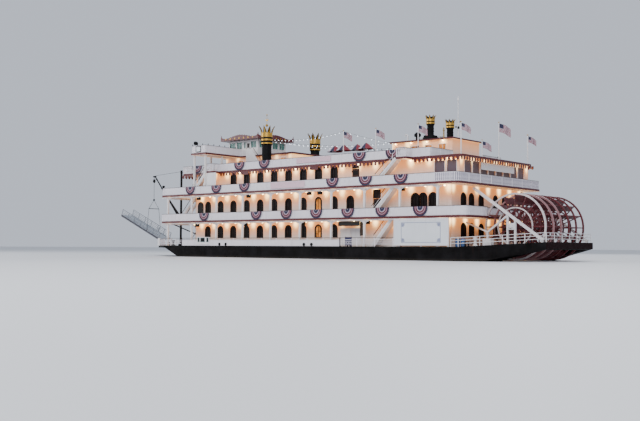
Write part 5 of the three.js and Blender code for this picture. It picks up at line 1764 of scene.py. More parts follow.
@dataclass
class Deckhouse:
    """The house on the after part of the roof deck, its lamps, and the gear on its roof."""

    front_x: float = 42.0
    half: float = 9.4
    top: float = 50.0
    roof: float = 50.6

    def build(self) -> None:
        """Builds windows, a door and the eaves' lamps, then the roof gear."""
        dress(wall_paint("deckhouse_paint", self.top, 19, glow=0.8), "deckhouse_walls")
        panes, bars, dish, glass = pieces("deckhouse", panes=LIT_PANE, trim=WHITE, lamp_dishes=WHITE,
                                          lamp_bulbs=LAMP_GLASS)
        for i in range(4):
            span, heights = (18 + i * 6, 21 + i * 6), (ROOF_DECK + 3, ROOF_DECK + 6)
            Face.side(self.half).light(panes, bars, span, heights, 1)
            at = (19 + i * WINDOW_PITCH * 0.9, self.half + 0.42, self.top)
            dish.turned(at, [(0.2, 0), (0.3, -0.1), (0.3, -0.18), (0.2, -0.18)], 12)
            glass.turned(at, [(0.1, -0.18), (0.26, -0.3), (0.26, -0.5), (0.1, -0.66)], 10)
        place(panes, bars, twins=True)
        house_door("deckhouse_door", Face.end(self.front_x - 0.35, 1))
        place(dish, glass, twins=True)
        self.gear()

    def gear(self) -> None:
        """Builds the vents, plant boxes, brass column and lamp posts on the roof."""
        dress(GEAR_BLACK, "roof_vent")
        dress(WHITE, "light_mast")
        grey, white, dark = pieces("roof", plant=GALVANISED, cowls=WHITE, lanterns=GEAR_BLACK)
        brass, roof = Shape("steam_column", BRASS), self.roof
        boxes = ((38, -5.5, 1.6, 2.2, 2.6), (33, -1.5, 1.3, 1.6, 2.2), (26.4, 0, 1.5, 1.5, 1.8))
        for x, y, long, wide, tall in boxes:
            grey.box((x - long, x + long), (y - wide, y + wide), (roof, roof + tall))
            for z in (roof + 0.35 + k * (tall - 0.6) / 5 for k in range(5)):
                grey.box((x - long - 0.05, x + long + 0.05), (y - wide + 0.3, y + wide - 0.3), (z, z + 0.12))
            white.turned((x, y, roof + tall), [(1, 0), (1, 0.2), (0.85, 0.28), (0.2, 0.3)], 20)
        neck = ((36.8, 0), (36.8, 2), (36.9, 2.5), (37.3, 2.8), (37.8, 2.7), (38, 2.2))
        white.pipe([(x, 6.6, roof + up) for x, up in neck], 0.28, 12)
        brass.turned((22.2, 4.2, roof), [(0.6, 0), (0.6, 0.3), (0.32, 0.5), (0.26, 3.2), (0.42, 3.4), (0.42, 3.7),
                                         (0.2, 4), (0.3, 4.3), (0.06, 4.7)])
        for y in (4, -4):
            white.bar((16, y, roof), (16, y, roof + 3.6), 0.1)
            dark.turned((16, y, roof + 3.5), [(0.1, 0), (0.4, 0.2), (0.45, 0.6), (0.3, 0.9), (0.05, 1.1)], 12)
        for y, z in ((1.5, 55), (-1.5, 57.2)):
            white.pipe([(18.6, 0, z - 0.8), (18.6, y * 0.8, z - 0.6), (18.6, y, z)], 0.09)
            dark.turned((18.6, y, z), [(0.08, 0), (0.26, 0.12), (0.28, 0.5), (0.06, 0.75)], 10)
        place(grey, white, brass, dark)


@dataclass
class Stack:
    """A round smoke stack with a gilt, banded crown and a ring of flared spikes."""

    name: str
    x: float
    y: float
    foot: float
    base: float
    shaft: float
    crown: float
    neck: float
    rim: float
    tip: float
    flare: float
    gilt_bands: tuple[Span, ...]
    stepped: bool = False
    finial: bool = False
    spikes: int = 8
    sides: int = 40

    def build(self) -> None:
        """Builds the casing, its bands, the crown and what stands on it."""
        black, gilt = pieces(self.name, casing=STACK_BLACK, gilding=GOLD)
        x, y, f, r, s, rim = self.x, self.y, self.foot, self.crown, self.shaft, self.rim
        casing = [(self.base, f), (self.base, f + 1), (s, f + 1.3), (s, self.neck - 0.5), (r, self.neck), (r, rim),
                  (r - 0.25, rim), (r - 0.25, rim - 1), (0.2, rim - 1)]
        black.turned((x, y, 0), casing, self.sides)
        for z0, z1 in self.gilt_bands:
            band = [(r - 0.03, z0 - 0.03), (r + 0.06, z0), (r + 0.06, z1), (r - 0.03, z1 + 0.03)]
            gilt.turned((x, y, 0), band, self.sides)
        for z in (f + 3, (f + self.neck) / 2 + 1):
            black.turned((x, y, z), [(s - 0.05, 0), (s + 0.1, 0.06), (s + 0.1, 0.3), (s - 0.05, 0.36)], self.sides)
        for turn in turns(self.spikes, 0.5):
            self.spike(black, turn, 1, 0)
            self.spike(gilt, turn, 0.5, 0.06)
        if self.stepped:
            for half, z0, z1 in ((2.1, 0, 0.9), (1.85, 0.9, 1.6)):
                black.post((x, y), half, (f + z0, f + z1))
        if self.finial:
            self.ornament(gilt, black)
        black.place(replaces=(self.name,))
        gilt.place()

    def spike(self, shape: Shape, turn: float, share: float, lift: float) -> None:
        """Adds one spike of the crown, which curls outwards.

        Args:
            shape: The piece that takes it.
            turn: Its place round the rim, as an angle.
            share: Its width as a share of a full spike.
            lift: How far it lies outside the full spike.
        """
        out, rings = Vector((cos(turn), sin(turn), 0)), []
        middle, rise = Vector((self.x, self.y, self.rim)), UP * (self.tip - self.rim)
        for up, reach, wide in SPIKE:
            at = middle + out * (self.crown - 0.12 + (self.flare + 0.05) * reach + lift) + rise * up
            thick, half = out * 0.07, UP.cross(out) * (0.27 * self.crown * share * wide)
            rings.append([at - half - thick, at + half - thick, at + half * 0.9 + thick, at - half * 0.9 + thick])
        shape.loft(rings)

    def ornament(self, gilt: Shape, black: Shape) -> None:
        """Adds a rod over the crown, with a knob, a crescent and a ball.

        Args:
            gilt: The gilt piece.
            black: The black piece.
        """
        x, y, half = self.x, self.y, self.crown - 0.15
        for dx, dy in ((half, 0), (0, half)):
            black.bar((x - dx, y - dy, self.rim - 0.25), (x + dx, y + dy, self.rim - 0.25), 0.12)
        gilt.bar((x, y, self.rim - 0.3), (x, y, 66), 0.1, 8, 0.06)
        gilt.turned((x, y, 61), [(0.1, 0), (0.55, 0.35), (0.62, 0.6), (0.5, 0.9), (0.12, 1.2)], 14)
        gilt.ball((x, y, 66), 0.3, 12)
        arc = [radians(205 + 13 * k) for k in range(11)]
        outer = [(0.85 * cos(t), 0.85 * sin(t)) for t in arc]
        inner = [(0.8 * cos(t), 0.28 + 0.62 * sin(t)) for t in reversed(arc)]
        gilt.slab([*outer, *inner], (x, y, 64.3), Vector((1, 0, 0)), 0.16)


@dataclass
class Festoon:
    """A string of small lamps, held between two points."""

    name: str
    start: Point
    end: Point
    sag: float
    pitch: float = 2.6

    def build(self) -> None:
        """Builds the wire and its lamps."""
        a, b = Vector(self.start), Vector(self.end)
        count = max(4, round((b - a).length / self.pitch))
        shares = [i / count for i in range(count + 1)]
        line = [a.lerp(b, share) - UP * (4 * self.sag * share * (1 - share)) for share in shares]
        wire, lamps = pieces(self.name, wire=GEAR_BLACK, lamps=FESTOON_GLASS)
        wire.pipe(line, 0.035, 6)
        for at in line[1:-1]:
            wire.bar(at, at - UP * 0.16, 0.07, 6)
            lamps.ball(at - UP * 0.3, 0.13, 8, 1.2)
        place(wire, lamps)


# Stern

BARREL = ((0.78, 0), (0.86, 0.4), (0.8, 0.5), (0.88, 1.4), (0.8, 1.5), (0.86, 2.4), (0.78, 2.8), (0.6, 2.8))
BITT = ((0.34, 0), (0.26, 0.1), (0.26, 1.3), (0.36, 1.4), (0.36, 1.6), (0.2, 1.7))
VENT = ((0.9, 0), (0.9, 0.3), (0.5, 0.7), (0.45, 1.9), (0.75, 2.3), (0.8, 2.9), (0.3, 3.1))
HUB = ((0.6, -0.42), (1.3, -0.4), (1.3, -0.2), (1.7, -0.18), (1.7, 0.18), (1.3, 0.2), (1.3, 0.4), (0.6, 0.42))


@dataclass
class SternWheel:
    """The stern wheel: rings, arms, floats and hubs on its shaft."""

    rings: int = 6
    arms: int = 16
    sides: int = 96
    inner_radius: float = 6.6

    def spokes(self, count: int) -> list[Vector]:
        """Returns directions spaced evenly round the shaft."""
        return [Vector((cos(t), 0, sin(t))) for t in turns(count)]

    def ring(self, shape: Shape, hub: Vector, radius: float, deep: float, half: float) -> None:
        """Adds one flat ring.

        Args:
            shape: The piece that takes it.
            hub: Its middle.
            radius: Its outer radius.
            deep: Its width.
            half: Half its thickness.
        """
        section = oblong(radius - deep, radius, -half, half)
        rings = [[hub + out * r + Vector((0, s, 0)) for r, s in section] for out in self.spokes(self.sides)]
        shape.loft(rings, closed=True)

    def build(self) -> None:
        """Builds the wheel on its own body."""
        shapes = pieces("wheel", end_rings=WHEEL_WHITE, second_rings=WHEEL_HALF_SHADE, middle_rings=WHEEL_RED,
                        floats=WHEEL_RED, bolts=STEEL)
        pale, pink, red, boards, bolts = shapes
        # Rings run from pale at port to dark red at starboard as light falls: the pink rings are painted
        # half-shade, and the starboard end rings take the red as painted shade.
        for i, shape in enumerate((red, red, red, pink, pink, pale)):
            hub = Vector((WHEEL_X, -WHEEL_HALF + i * 2 * WHEEL_HALF / (self.rings - 1), WHEEL_Z))
            self.ring(shape, hub, WHEEL_RADIUS - 0.02, 0.55, 0.26)
            self.ring(pale if i == self.rings - 1 else red, hub, self.inner_radius, 0.42, 0.2)
            red.turned(hub, HUB, 24, (0, 1, 0))
            for out in self.spokes(self.arms):
                red.beam(hub + out, hub + out * (WHEEL_RADIUS - 0.2), 0.24, 0.34)
                for r in (self.inner_radius - 0.2, WHEEL_RADIUS - 0.3, WHEEL_RADIUS - 1.2, WHEEL_RADIUS - 2.4):
                    bolts.turned(hub + out * r, [(0.09, -0.22), (0.09, 0.22)], 6, (0, 1, 0))
        axle, end = Vector((WHEEL_X, 0, WHEEL_Z)), Vector((0, WHEEL_HALF + 0.08, 0))
        for out, (low, high) in product(self.spokes(self.arms), ((3, 2.28), (2.24, 1.5), (1.46, 0.72))):
            centre = axle + out * (WHEEL_RADIUS - (low + high) / 2)
            boards.beam(centre - end, centre + end, low - high, 0.34, out)
        pale.place("wheel", ("paddle_wheel",))
        place(*shapes[1:], body="wheel")
        dress(STEEL, "wheel_shaft")


@dataclass
class Stern:
    """The wheel's frames, the guard rails beside it and the gear on the after deck."""

    deck_rise: float = 1.7
    rail_x: float = -25.3
    guard_line: tuple[Span, ...] = ((2.8, 30.1), (0, 30), (-6.4, 27), (-12.9, 23.6), (-19.3, 20.4), (-25.2, 17.3))
    bitts: tuple[Span, ...] = ((-1.5, 27), (-18, 18.8), (48, 28.2), (140.5, 27.2), (165, 16))

    def on_deck(self, x: float, y: float, up: float = 0.0) -> Vector:
        """Returns a place over the main deck, which rises towards the transom."""
        return Vector((x, y, MAIN_DECK + (self.deck_rise * x / TRANSOM_X if x < 0 else 0) + up))

    def build(self) -> None:
        """Builds the bearings, rails and small gear."""
        white, steel = Shape("wheel_bearings", WHITE), Shape("frame_bolts", STEEL)
        rail, spots = Shape("stern_rails", WHITE), ((-3.6, 15.7), (-11.2, 21.3), (-14, 19.5), (-23.8, 12.9))
        arc = [(0.95 * cos(pi * k / 12), 0.95 * sin(pi * k / 12)) for k in range(13)]
        for side, sign in SIDES.items():
            dress(WHITE, f"wheel_frame_{side}")
            face = Face.side(sign * (BEARING_Y + 0.55)).at(WHEEL_X, WHEEL_Z)
            face.board(white, [(-0.95, -0.7), (0.95, -0.7), *arc], 0, 0.16)
            white.turned(face.origin, [(0.62, 0), (0.62, 0.3), (0.5, 0.4), (0.1, 0.42)], 20, face.out)
            for t in turns(6, 0.5):
                at = face.point(0.78 * cos(t), 0.72 * sin(t), 0.14)
                steel.turned(at, [(0.08, 0), (0.08, 0.1)], 6, face.out)
            for (x, z), dx in product(spots, (-0.2, 0, 0.2)):
                at = (x + dx, sign * (BEARING_Y + 0.34), z)
                steel.turned(at, [(0.07, 0), (0.07, 0.06), (0.04, 0.1)], 8, face.out)
            self.guard(rail, [(x, sign * y) for x, y in self.guard_line])
        self.guard(rail, [(self.rail_x, 17.2), (self.rail_x, -17.2)], posts=False)
        for k in range(-3, 4):
            rail.bar(self.on_deck(self.rail_x, k * 5.7), self.on_deck(self.rail_x, k * 5.7, 3.15), 0.12)
        place(white, steel, rail)
        self.gear()

    def guard(self, rail: Shape, line: Sequence[Span], posts: bool = True) -> None:
        """Adds three bars along the edge of the after deck.

        Args:
            rail: Takes the bars and posts.
            line: X and Y of the corners.
            posts: True for a post at each corner.
        """
        for (start, end), up in product(zip(line, line[1:]), (1.1, 2.1, 3.1)):
            rail.bar(self.on_deck(*start, up), self.on_deck(*end, up), 0.09)
        for at in line if posts else ():
            rail.bar(self.on_deck(*at), self.on_deck(*at, 3.15), 0.12)

    def gear(self) -> None:
        """Adds bitts, capstans, lockers and barrels on the main deck."""
        black, (white, blue) = Shape("deck_bitts", GEAR_BLACK), pieces("stern", lockers=WHITE, barrels=BARREL_BLUE)
        for (x, y), dx in product(self.bitts, (-0.6, 0.6)):
            black.turned(self.on_deck(x, y) + Vector((dx, 0, 0)), BITT, 14)
        low = self.on_deck(-6, 0).z
        white.turned(self.on_deck(-3.2, 24.5), VENT, 18)
        white.box((-8.5, -5.5), (21.5, 23.6), (low, low + 2.4))
        for x in (0.8, 3):
            blue.turned(self.on_deck(x, 25.6), BARREL, 18)
        place(black, white, blue, twins=True)


@dataclass
class SignBoards:
    """Blank boards with a moulded frame, one on each side."""

    x: Span = (3.4, 26)
    z: Span = (11.2, 20.15)
    face: float = 30.5

    def build(self) -> None:
        """Adds the frames and the corner ornaments."""
        (x0, x1), (z0, z1) = self.x, self.z
        a, b, c, d = x0 + 3.2, x1 - 3.2, z0 + 1, z1 - 1
        for side, sign in SIDES.items():
            dress(BOARD_PALE, f"sign_board_{side}")
            trim = Shape(f"sign_board_{side}_border", WHITE, "board_pale")
            blue, face = Shape(f"sign_board_{side}_corners", ORNAMENT_BLUE), Face.side(sign * self.face)
            face.rim(trim, (x0, x1, z0, z1), 0.35, -0.02, 0.07)
            face.rim(blue, (a, b, c, d), 0.12, -0.02, 0.05)
            for (cx, wx), (cz, wz), k in product(((a, 1), (b, -1)), ((c, 1), (d, -1)), range(3)):
                r, x, z = 1.3 - k * 0.38, cx + wx * (0.3 + k * 0.3), cz + wz * (0.3 + k * 0.3)
                corner = ((0, 0), (r, 0), (r * 0.8, 0.16), (0.16, 0.16), (0.16, r * 0.8), (0, r))
                face.board(blue, [(x + wx * p, z + wz * q) for p, q in corner], -0.02, 0.06)
            place(trim, blue)


# Bow

BAND = ((0.53, 0), (0.64, 0.05), (0.64, 0.4), (0.53, 0.45))
DRUM = ((0.9, 0), (0.9, 0.15), (0.55, 0.2), (0.55, 3.6), (0.9, 3.65), (0.9, 3.8))
CAPSTAN = ((1.1, 0), (1.1, 0.3), (0.6, 0.6), (0.5, 1.6), (0.8, 2.2), (0.9, 2.5), (0.4, 2.7))


@dataclass
class BowGear:
    """Mast, boom, fall and landing stage: bands, blocks, treads, the topping wire and the winch."""

    mast_x: float = 175.5
    mast_top: float = 47.4
    heel: Point = (177, 0, 24.5)
    head: Point = (195.6, 0, 45.3)
    fall_x: float = 196.3
    stage_heel: Point = (187.2, 0, 13.8)
    stage_rise: float = radians(22.0)
    stage_length: float = 33.5
    stage_half: float = 3.5

    def build(self) -> None:
        """Dresses the gear's CAD nodes and adds their fittings."""
        dress(GEAR_BLACK, "bow_mast", "stage_boom", "stage_fall")
        dress(STAGE, "landing_stage")
        dress(WHITE, "bow_guard")
        dress(STAGE_DARK, "engine")
        bands = Shape("mast_bands", GEAR_BLACK)
        for z in (13.5, 24, 36, 46):
            bands.turned((self.mast_x, 0, z), BAND, 20)
        bands.turned((self.mast_x, 0, self.mast_top - 0.3), [(0.62, 0), (0.62, 0.28), (0.3, 0.3)], 20)
        bands.place()
        self.topping_wire()
        self.boom_fittings()
        self.stage_fittings()
        self.winch()

    def topping_wire(self) -> None:
        """Stretches the wire from the mast's top to the boom's head, across the boom's joint."""
        wire = Shape("topping_wire", GEAR_BLACK)
        start = Vector((self.mast_x + 0.4, 0, self.mast_top - 0.6))
        end = Vector((self.head[0] - 0.2, 0, self.head[2] + 0.45))
        wire.pipe([start.lerp(end, i / 24) for i in range(25)], 0.07)
        made = wire.mesh_object()
        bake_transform(made)

    def boom_fittings(self) -> None:
        """Adds the boom's bands, the sheave's pins and the cheeks of both blocks of the fall."""
        boom, fall = Shape("boom_bands", GEAR_BLACK), Shape("fall_blocks", GEAR_BLACK)
        a, b = Vector((self.heel[0] + 0.35, 0, self.heel[2] + 0.4)), Vector(self.head)
        for share in (0.1, 0.4, 0.7, 0.93):
            boom.turned(a.lerp(b, share), [(0.3, -0.2), (0.46, -0.15), (0.46, 0.15), (0.3, 0.2)], 16, b - a)
        for sign in SIGNS:
            pin, out = (self.fall_x, sign * 0.5, self.head[2]), (0, sign, 0)
            boom.turned(pin, [(0.3, 0), (0.3, 0.08), (0.16, 0.14)], 14, out)
            for z, r in ((43.1, 0.78), (33.6, 0.42)):
                fall.turned((self.fall_x, sign * 0.16, z), [(r, 0), (r, 0.1), (r * 0.5, 0.16)], 20, out)
        boom.place("boom")
        fall.place("fall")

    def at_stage(self, along: float, across: float, up: float) -> Vector:
        """Returns a place given in the raised stage's own directions."""
        c, s = cos(self.stage_rise), sin(self.stage_rise)
        return Vector(self.stage_heel) + Vector((along * c - up * s, across, along * s + up * c))

    def stage_fittings(self) -> None:
        """Adds treads, kerbs and thin rails to the landing stage."""
        wood, steel = pieces("stage", treads=TREAD_PALE, rails=STAGE_DARK)
        up, end = self.at_stage(0, 0, 1) - Vector(self.stage_heel), self.stage_length - 0.2
        for i in range(38):
            x = 0.9 + i * 0.86
            wood.beam(self.at_stage(x, -3.1, 0.2), self.at_stage(x, 3.1, 0.2), 0.1, 0.16 if i % 2 else 0.7, up)
        for sign in SIGNS:
            y = sign * (self.stage_half - 0.15)
            for z in (0.85, 2.4):
                steel.bar(self.at_stage(0.8, y, z), self.at_stage(end, y, z), 0.06, 6)
            y -= sign * 0.02
            steel.beam(self.at_stage(0.6, y, -0.35), self.at_stage(end, y, -0.35), 0.3, 0.5)
        place(wood, steel, body="stage")

    def winch(self) -> None:
        """Builds the winch and lockers on the foredeck, and the capstan at the bow."""
        black, steel = Shape("foredeck_winch", GEAR_BLACK), Shape("winch_drums", STEEL)
        white, x, z = Shape("foredeck_lockers", WHITE), 168, MAIN_DECK
        black.box((x - 1.6, x + 1.6), (-2.6, 2.6), (z, z + 0.35))
        steel.turned((x, -1.9, z + 1.6), DRUM, 24, (0, 1, 0))
        for sign in SIGNS:
            black.box((x - 0.9, x + 0.9), (sign * 2, sign * 2.4), (z + 0.3, z + 2.4))
            steel.turned((x, sign * 2.4, z + 1.6), [(0.3, 0), (0.4, 0.3), (0.3, 0.8), (0.45, 1.1), (0.3, 1.15)], 16,
                         (0, sign, 0))
            white.box((156.5, 160), (sign * 5, sign * 9.5), (z, z + 2))
            white.box((156.3, 160.2), (sign * 4.8, sign * 9.7), (z + 2, z + 2.2))
        steel.turned((181, 0, z), CAPSTAN, 20)
        place(black, steel, white)


@dataclass
class Porch:
    """The stairs and braces in the bow porch, ahead of the saloons' front walls, and its corner lamps."""

    steps: int = 12

    def build(self) -> None:
        """Builds a flight up each side of the porch on the main deck and deck 2, and the braces outside them."""
        white, wood, dark = pieces("porch", stairs=WHITE, handrails=RAIL_CAP, braces=GEAR_BLACK)
        rise = UP * 2.7
        for low, high, y in ((MAIN_DECK, DECK_2, 14), (DECK_2, DECK_3, 20.5)):
            foot, head = Vector((150.2, y, low + 0.1)), Vector((140, y, high - SLAB - 0.1))
            for edge in (Vector((0, -1.5, 0)), Vector((0, 1.5, 0))):
                a, b = foot + edge, head + edge
                white.beam(a, b, 0.16, 1)
                wood.beam(a.lerp(b, 0.05) + rise, a.lerp(b, 0.72) + rise, 0.18, 0.18)
                for at in (a.lerp(b, share) for share in (0.05, 0.38, 0.72)):
                    white.bar(at, at + rise, 0.08)
            for i in range(self.steps):
                p = foot.lerp(head, (i + 0.5) / self.steps)
                white.box((p.x - 0.42, p.x + 0.42), (y - 1.45, y + 1.45), (p.z + 0.25, p.z + 0.37))
        dark.beam((153, 27, DECK_3 - SLAB), (142, 27, DECK_2 + 0.02), 0.45, 0.45)
        dark.beam((150.4, 27, DECK_2 - SLAB), (136.6, 24.4, 15.8), 0.4, 0.4)
        lens = ((0.1, -0.5), (0.4, -0.3), (0.5, 0.2), (0.42, 0.3), (0.05, 0.34))
        for x, y in ((153.4, 29.3), (152.86, 29.48), (153.52, 28.76)):
            at = Vector((x, y, DECK_3 + RAIL_HEIGHT))
            dark.bar(at - UP * 0.2, at + UP * 0.5, 0.08)
            dark.turned(at + UP * 0.8, lens, 12, (1, 0.5, -0.3))
        place(white, wood, dark, twins=True)


@dataclass
class Bulwark:
    """What stands beside the plated bulwark: chocks, a locker and the gates, and the hull's rub rail."""

    chocks: tuple[float, ...] = (115.3, 111.5, 68.2, 64.4)
    locker: Span = (121.6, 129)
    slots: tuple[Span, ...] = ((121.9, 123.2), (124.2, 127), (127.5, 128.7))

    def build(self) -> None:
        """Builds both sides' fittings."""
        black, green = pieces("bulwark", chocks=GEAR_BLACK, locker_doors=LOCKER_GREEN)
        pale, wood = Shape("bulwark_lockers", WHITE, "board_pale"), Shape("hull_rub_rail", GEAR_BLACK)
        blue, deck, y = Shape("boarding_gates", GATE_BLUE), MAIN_DECK, HALF_BEAM - 0.08
        for x in self.chocks:
            black.turned((x, y - 0.3, deck + 0.65), [(0.62, 0), (0.62, 0.3), (0.4, 0.36)], 18, (0, 1, 0))
        pale.box(self.locker, (y - 1.2, y - 0.02), (deck + 0.5, deck + 3.6))
        face = Face.side(y - 0.03).at(0, deck)
        for x0, x1 in self.slots:
            face.rim(green, (x0, x1, 1.5, 3.4), 0.3, 0, 0.06)
            face.board(black, oblong(x0 + 0.3, x1 - 0.3, 1.8, 3.1), 0, 0.03)
        wood.box((0, 149), (HALF_BEAM - 0.2, HALF_BEAM), (deck - 0.5, deck - 0.05))
        for z in (deck + 0.4 + k * 1.05 for k in range(3)):
            blue.box((45.2, 48.3), (29.95, 30.1), (z, z + 0.9))
        for x in (45.3, 48.2):
            blue.post((x, 30.02), 0.11, (deck, deck + 3.5))
        place(blue, black, pale, green, wood, twins=True)


@dataclass
class Awning:
    """The dark awning over the boarding doors, on both sides."""

    x: Span = (43, 53.2)
    high: float = 20.35
    low: float = 19.9
    reach: float = 3.4

    def cloths(self, sign: int) -> tuple[list[list[Point]], list[list[Point]]]:
        """Shapes the cloths of one side.

        Args:
            sign: 1 for port, -1 for starboard.

        Returns:
            The grids of the awning, with its valance, and of the curtain.
        """
        (x0, x1), fall = self.x, self.high - self.low

        def roof(out: float, along: float) -> Point:
            """Returns a place on the awning, which sags between its bars."""
            sag = 0.06 * sin(4 * pi * along) ** 2
            y = CABIN_HALF + 0.1 + self.reach * out
            return (x0 + (x1 - x0) * along, sign * y, self.high - fall * out ** 1.4 - sag)

        def curtain(down: float, out: float) -> Point:
            """Returns a place on the curtain, which hangs in folds."""
            y = CABIN_HALF + 0.12 + self.reach * 0.96 * out + 0.05 * sin(11 * down)
            return (x0, sign * y, self.high - 0.25 - 0.5 * out ** 3 - 5.2 * down)
        grid = woven(8, 16, roof)
        valance = [[(x, y, z - 0.4 * k) for x, y, z in grid[-1]] for k in (1, 2, 3, 4)]
        return grid + valance, woven(10, 8, curtain)

    def build(self) -> None:
        """Hangs a canvas awning on a light frame on each side."""
        bars, (x0, x1) = Shape("awning_frames", GEAR_BLACK), self.x
        for side, sign in SIDES.items():
            for name, held, grid, flat in zip(("awning", "curtain"), ("stretched", "hung"), self.cloths(sign),
                                              (((x1 - x0) * 1.005, self.reach + 1.8), (self.reach, 5.25))):
                Sheet(f"boarding_{name}_{side}", grid, held, bars.name, lambda *_at: AWNING_CLOTH, flat).place()
            wall, out = sign * (CABIN_HALF + 0.02), sign * (CABIN_HALF + self.reach)
            for x in (x0, (x0 + x1) / 2, x1):
                bars.bar((x, wall, self.high - 0.12), (x, out, self.low - 0.12), 0.06)
                bars.bar((x, wall, self.low - 0.9), (x, out, self.low - 0.14), 0.05)
        bars.place()


@dataclass
class Floodlights:
    """Black floodlights on brackets under the decks' edges."""

    y: float = 28.2
    rows: tuple[tuple[float, tuple[float, ...]], ...] = ((DECK_2 - SLAB, (8, 39.4, 70.8, 102.2, 131.6)),
                                                         (DECK_3 - SLAB, (24, 62.2, 67.6, 100.5, 130.8)))

    def build(self) -> None:
        """Builds the floodlights of the main deck and deck 2."""
        black, glass = Shape("floodlights", GEAR_BLACK), Shape("floodlight_lenses", DARK_PANE)
        for x, y, z in ((x, self.y, z) for z, places in self.rows for x in places):
            black.bar((x, y, z), (x, y, z - 0.7), 0.09)
            black.box((x - 0.9, x + 0.9), (y - 0.45, y + 0.45), (z - 1.75, z - 0.65))
            glass.box((x - 0.75, x + 0.75), (y + 0.45, y + 0.49), (z - 1.65, z - 0.75))
            black.box((x - 1, x + 1), (y - 0.52, y + 0.52), (z - 0.68, z - 0.6))
        place(black, glass, twins=True)


# Studio


@dataclass
class Studio:
    """The pale floor at the waterline, soft light and the camera."""

    eye: Point = (-157.6, 283.6, 10.5)
    heading: float = 49.3
    pitch: float = 2.35
    roll: float = 0.32
    lens: float = 50.0
    sensor: float = 36.0
    far: float = 1000.0
    floor_half: float = 400.0
    lights: tuple[tuple[str, Point, float], ...] = (
        ("key", (-30, 45, 40), 26000), ("fill", (45, 30, 25), 12000), ("back", (10, -50, 35), 10000),
    )

    def floor(self) -> None:
        """Lays the floor."""
        paint, size = Recipe("studio_floor"), self.floor_half
        paint.set(Base_Color=paint.mix(paint.noise(0.08, 3), (0.68, 0.69, 0.71), (0.64, 0.65, 0.67)), Roughness=0.6)
        paint.bump(paint.noise(6, 2), 0.002, 0.2)
        mesh = bpy.data.meshes.new("studio_floor")
        mesh.from_pydata([(x, y, WATERLINE * FT) for x, y in oblong(-size, size, -size, size)], [], [(0, 1, 2, 3)])
        mesh.materials.append(paint.material)
        linked("studio_floor", mesh)

    def build(self) -> None:
        """Sets up the floor, the world, the lights and the camera."""
        self.floor()
        world = bpy.data.worlds.new("studio")
        world.use_nodes = True
        sky = world.node_tree.nodes["Background"].inputs
        sky["Color"].default_value, sky["Strength"].default_value = (0.78, 0.84, 0.96, 1), 0.8
        bpy.context.scene.world = world
        for name, at, power in self.lights:
            lamp = bpy.data.lights.new(name, "AREA")
            lamp.size, lamp.energy = 30, power
            made = linked(name, lamp)
            made.location = at
            made.rotation_euler = (Vector((0, 0, 4)) - Vector(at)).to_track_quat("-Z", "Y").to_euler()
        camera = bpy.data.cameras.new("camera")
        camera.lens, camera.sensor_width, camera.clip_end = self.lens, self.sensor, self.far
        made = linked("camera", camera)
        made.location = to_model(self.eye)
        turn, rise = radians(self.heading), radians(self.pitch)
        way = Vector((cos(turn) * cos(rise), -sin(turn) * cos(rise), sin(rise)))
        aim = way.to_track_quat("-Z", "Y") @ Quaternion((0, 0, 1), radians(self.roll))
        made.rotation_euler = aim.to_euler()
        bpy.context.scene.camera = made


# The boat, piece by piece


def saloons() -> list[Saloon]:
    """Returns the saloons of the three decks."""
    row = tuple(FIRST_WINDOW_X + i * WINDOW_PITCH for i in range(10))
    second = (*row, 50.2, 20.9, 17.6, 13.5)
    return [Saloon("main_saloon", MAIN_DECK, DECK_2, CABIN_AFT_X, row, row[1:2]),
            Saloon("deck_2_saloon", DECK_2, DECK_3, CABIN_AFT_X, second, row[1:2], blind=(133.5,)),
            Lounge("deck_3_saloon", DECK_3, ROOF_DECK, LOUNGE_AFT_X, (*row[:8], 133.8), louvres=True)]


def doors() -> list[Door]:
    """Returns the hinged leaves that the CAD carries."""
    made = [Door("pilothouse_door", 119.3, 122, 1, 8.35, -1, BRIDGE_DECK, WHITE, 6.3)]
    for side, sign in SIDES.items():
        made += [Door(f"boarding_door_aft_{side}", 45, 50, sign, CABIN_HALF, 1, MAIN_DECK, WHITE, glazed=False),
                 Door(f"boarding_door_fore_{side}", 55, 50, sign, CABIN_HALF, 1, MAIN_DECK, WHITE, glazed=False),
                 Door(f"deck_2_door_{side}", 39.6, 36, sign, CABIN_HALF - 0.5, -1, DECK_2, transom=3),
                 Door(f"deck_3_door_{side}", 49.4, 46, sign, CABIN_HALF, 1, DECK_3, rail=3.6, transom=1.2)]
    return made


def stacks() -> list[Stack]:
    """Returns the four smoke stacks."""
    tall = ((56.5, 58.35), (55.05, 55.75), (53.65, 54.15))
    short = ((57.5, 58.35), (56.5, 57.1))
    made = []
    for side, sign in SIDES.items():
        front, rear = (102.8, sign * 15.5, ROOF_DECK + 0.02), (26.4, sign * 6.75, 50.62)
        made += [Stack(f"front_stack_{side}", *front, 2.5, 2, 2.4, 53.6, 58.4, 61.2, 1.25, tall, finial=sign > 0),
                 Stack(f"rear_stack_{side}", *rear, 1.8, 1.25, 1.6, 56.4, 58.4, 59.8, 0.5, short, stepped=True)]
    return made


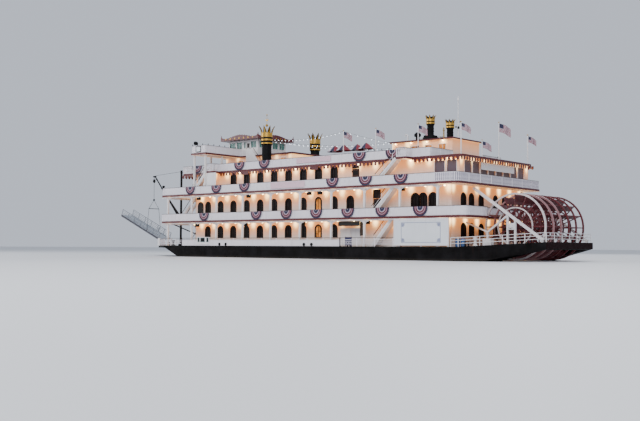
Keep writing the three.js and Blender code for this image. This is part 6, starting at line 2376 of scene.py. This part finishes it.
def cloths_and_strings() -> list[Banner | Flag | Festoon]:
    """Returns the banners, flags and strings of lamps."""
    made: list[Banner | Flag | Festoon] = [
        Banner(name, start, end, out, drop, held_by, finish) for name, start, end, out, drop, held_by, finish in (
            ("side_banner", (86, RAIL_Y + 0.2, DECK_3 + 2.9), (68, RAIL_Y + 0.2, DECK_3 + 2.9), (0, 1, 0), 2.4,
             "deck_3_balustrade_cap", BANNER_PINK),
            ("roof_banner", (77, ROOF_HALF - 0.15, ROOF_DECK + 2.9), (59.3, ROOF_HALF - 0.15, ROOF_DECK + 2.9),
             (0, 1, 0), 2, "roof_balustrade_port_cap", BANNER_PINK),
            ("stern_banner", (2.2, 11.4, 40.5), (2.2, -12.4, 40.5), (-1, 0, 0), 2.5, "lounge_frames",
             BANNER_WHITE))]
    for i, (x, y, top, _radius) in enumerate(Decks().poles):
        made.append(Flag(f"flag_{i}", (x, y, top - 0.5), *((5, 3.1) if i == 5 else (3.8, 2.3))))
    for side, sign in SIDES.items():
        made.append(Festoon(f"festoon_{side}", (114, sign * 9, 57.3), (42, sign * 8, 50.7), 2))
    return [*made, Festoon("festoon_pole_fore", (112, 11.2, 57.8), (54, 24.2, 54.3), 2.2),
            Festoon("festoon_pole_aft", (54, 24.2, 54.3), (38.2, 9.8, 49.6), 0.5)]


def main() -> None:
    """Builds the dressing of the boat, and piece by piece."""
    Studio().build()
    dress(HULL, "hull", "rudder_port", "rudder_starboard")
    for part in (*saloons(), *doors(), Decks(), Rails(), Columns(), Fringe(), SideStairs(), Pilothouse(),
                 Deckhouse(), *stacks(), SignBoards(), SternWheel(), Stern(), BowGear(), Porch(), Bulwark(),
                 Awning(), Floodlights(), Bunting(), Parasols(), *cloths_and_strings(),
                 DeckLamps("main_lamps", DECK_2 - SLAB, 27.2, ((26, 38),), 143),
                 DeckLamps("deck_2_lamps", DECK_3 - SLAB, 27.2, ((25, 39),), 145),
                 DeckLamps("deck_3_lamps", ROOF_DECK - SLAB, 24.98, ((25, 37), (123, 136)))):
        LOG.info("%s", type(part).__name__)
        part.build()


if __name__ == "__main__":
    logging.basicConfig(level=logging.INFO, format="%(message)s")
    main()
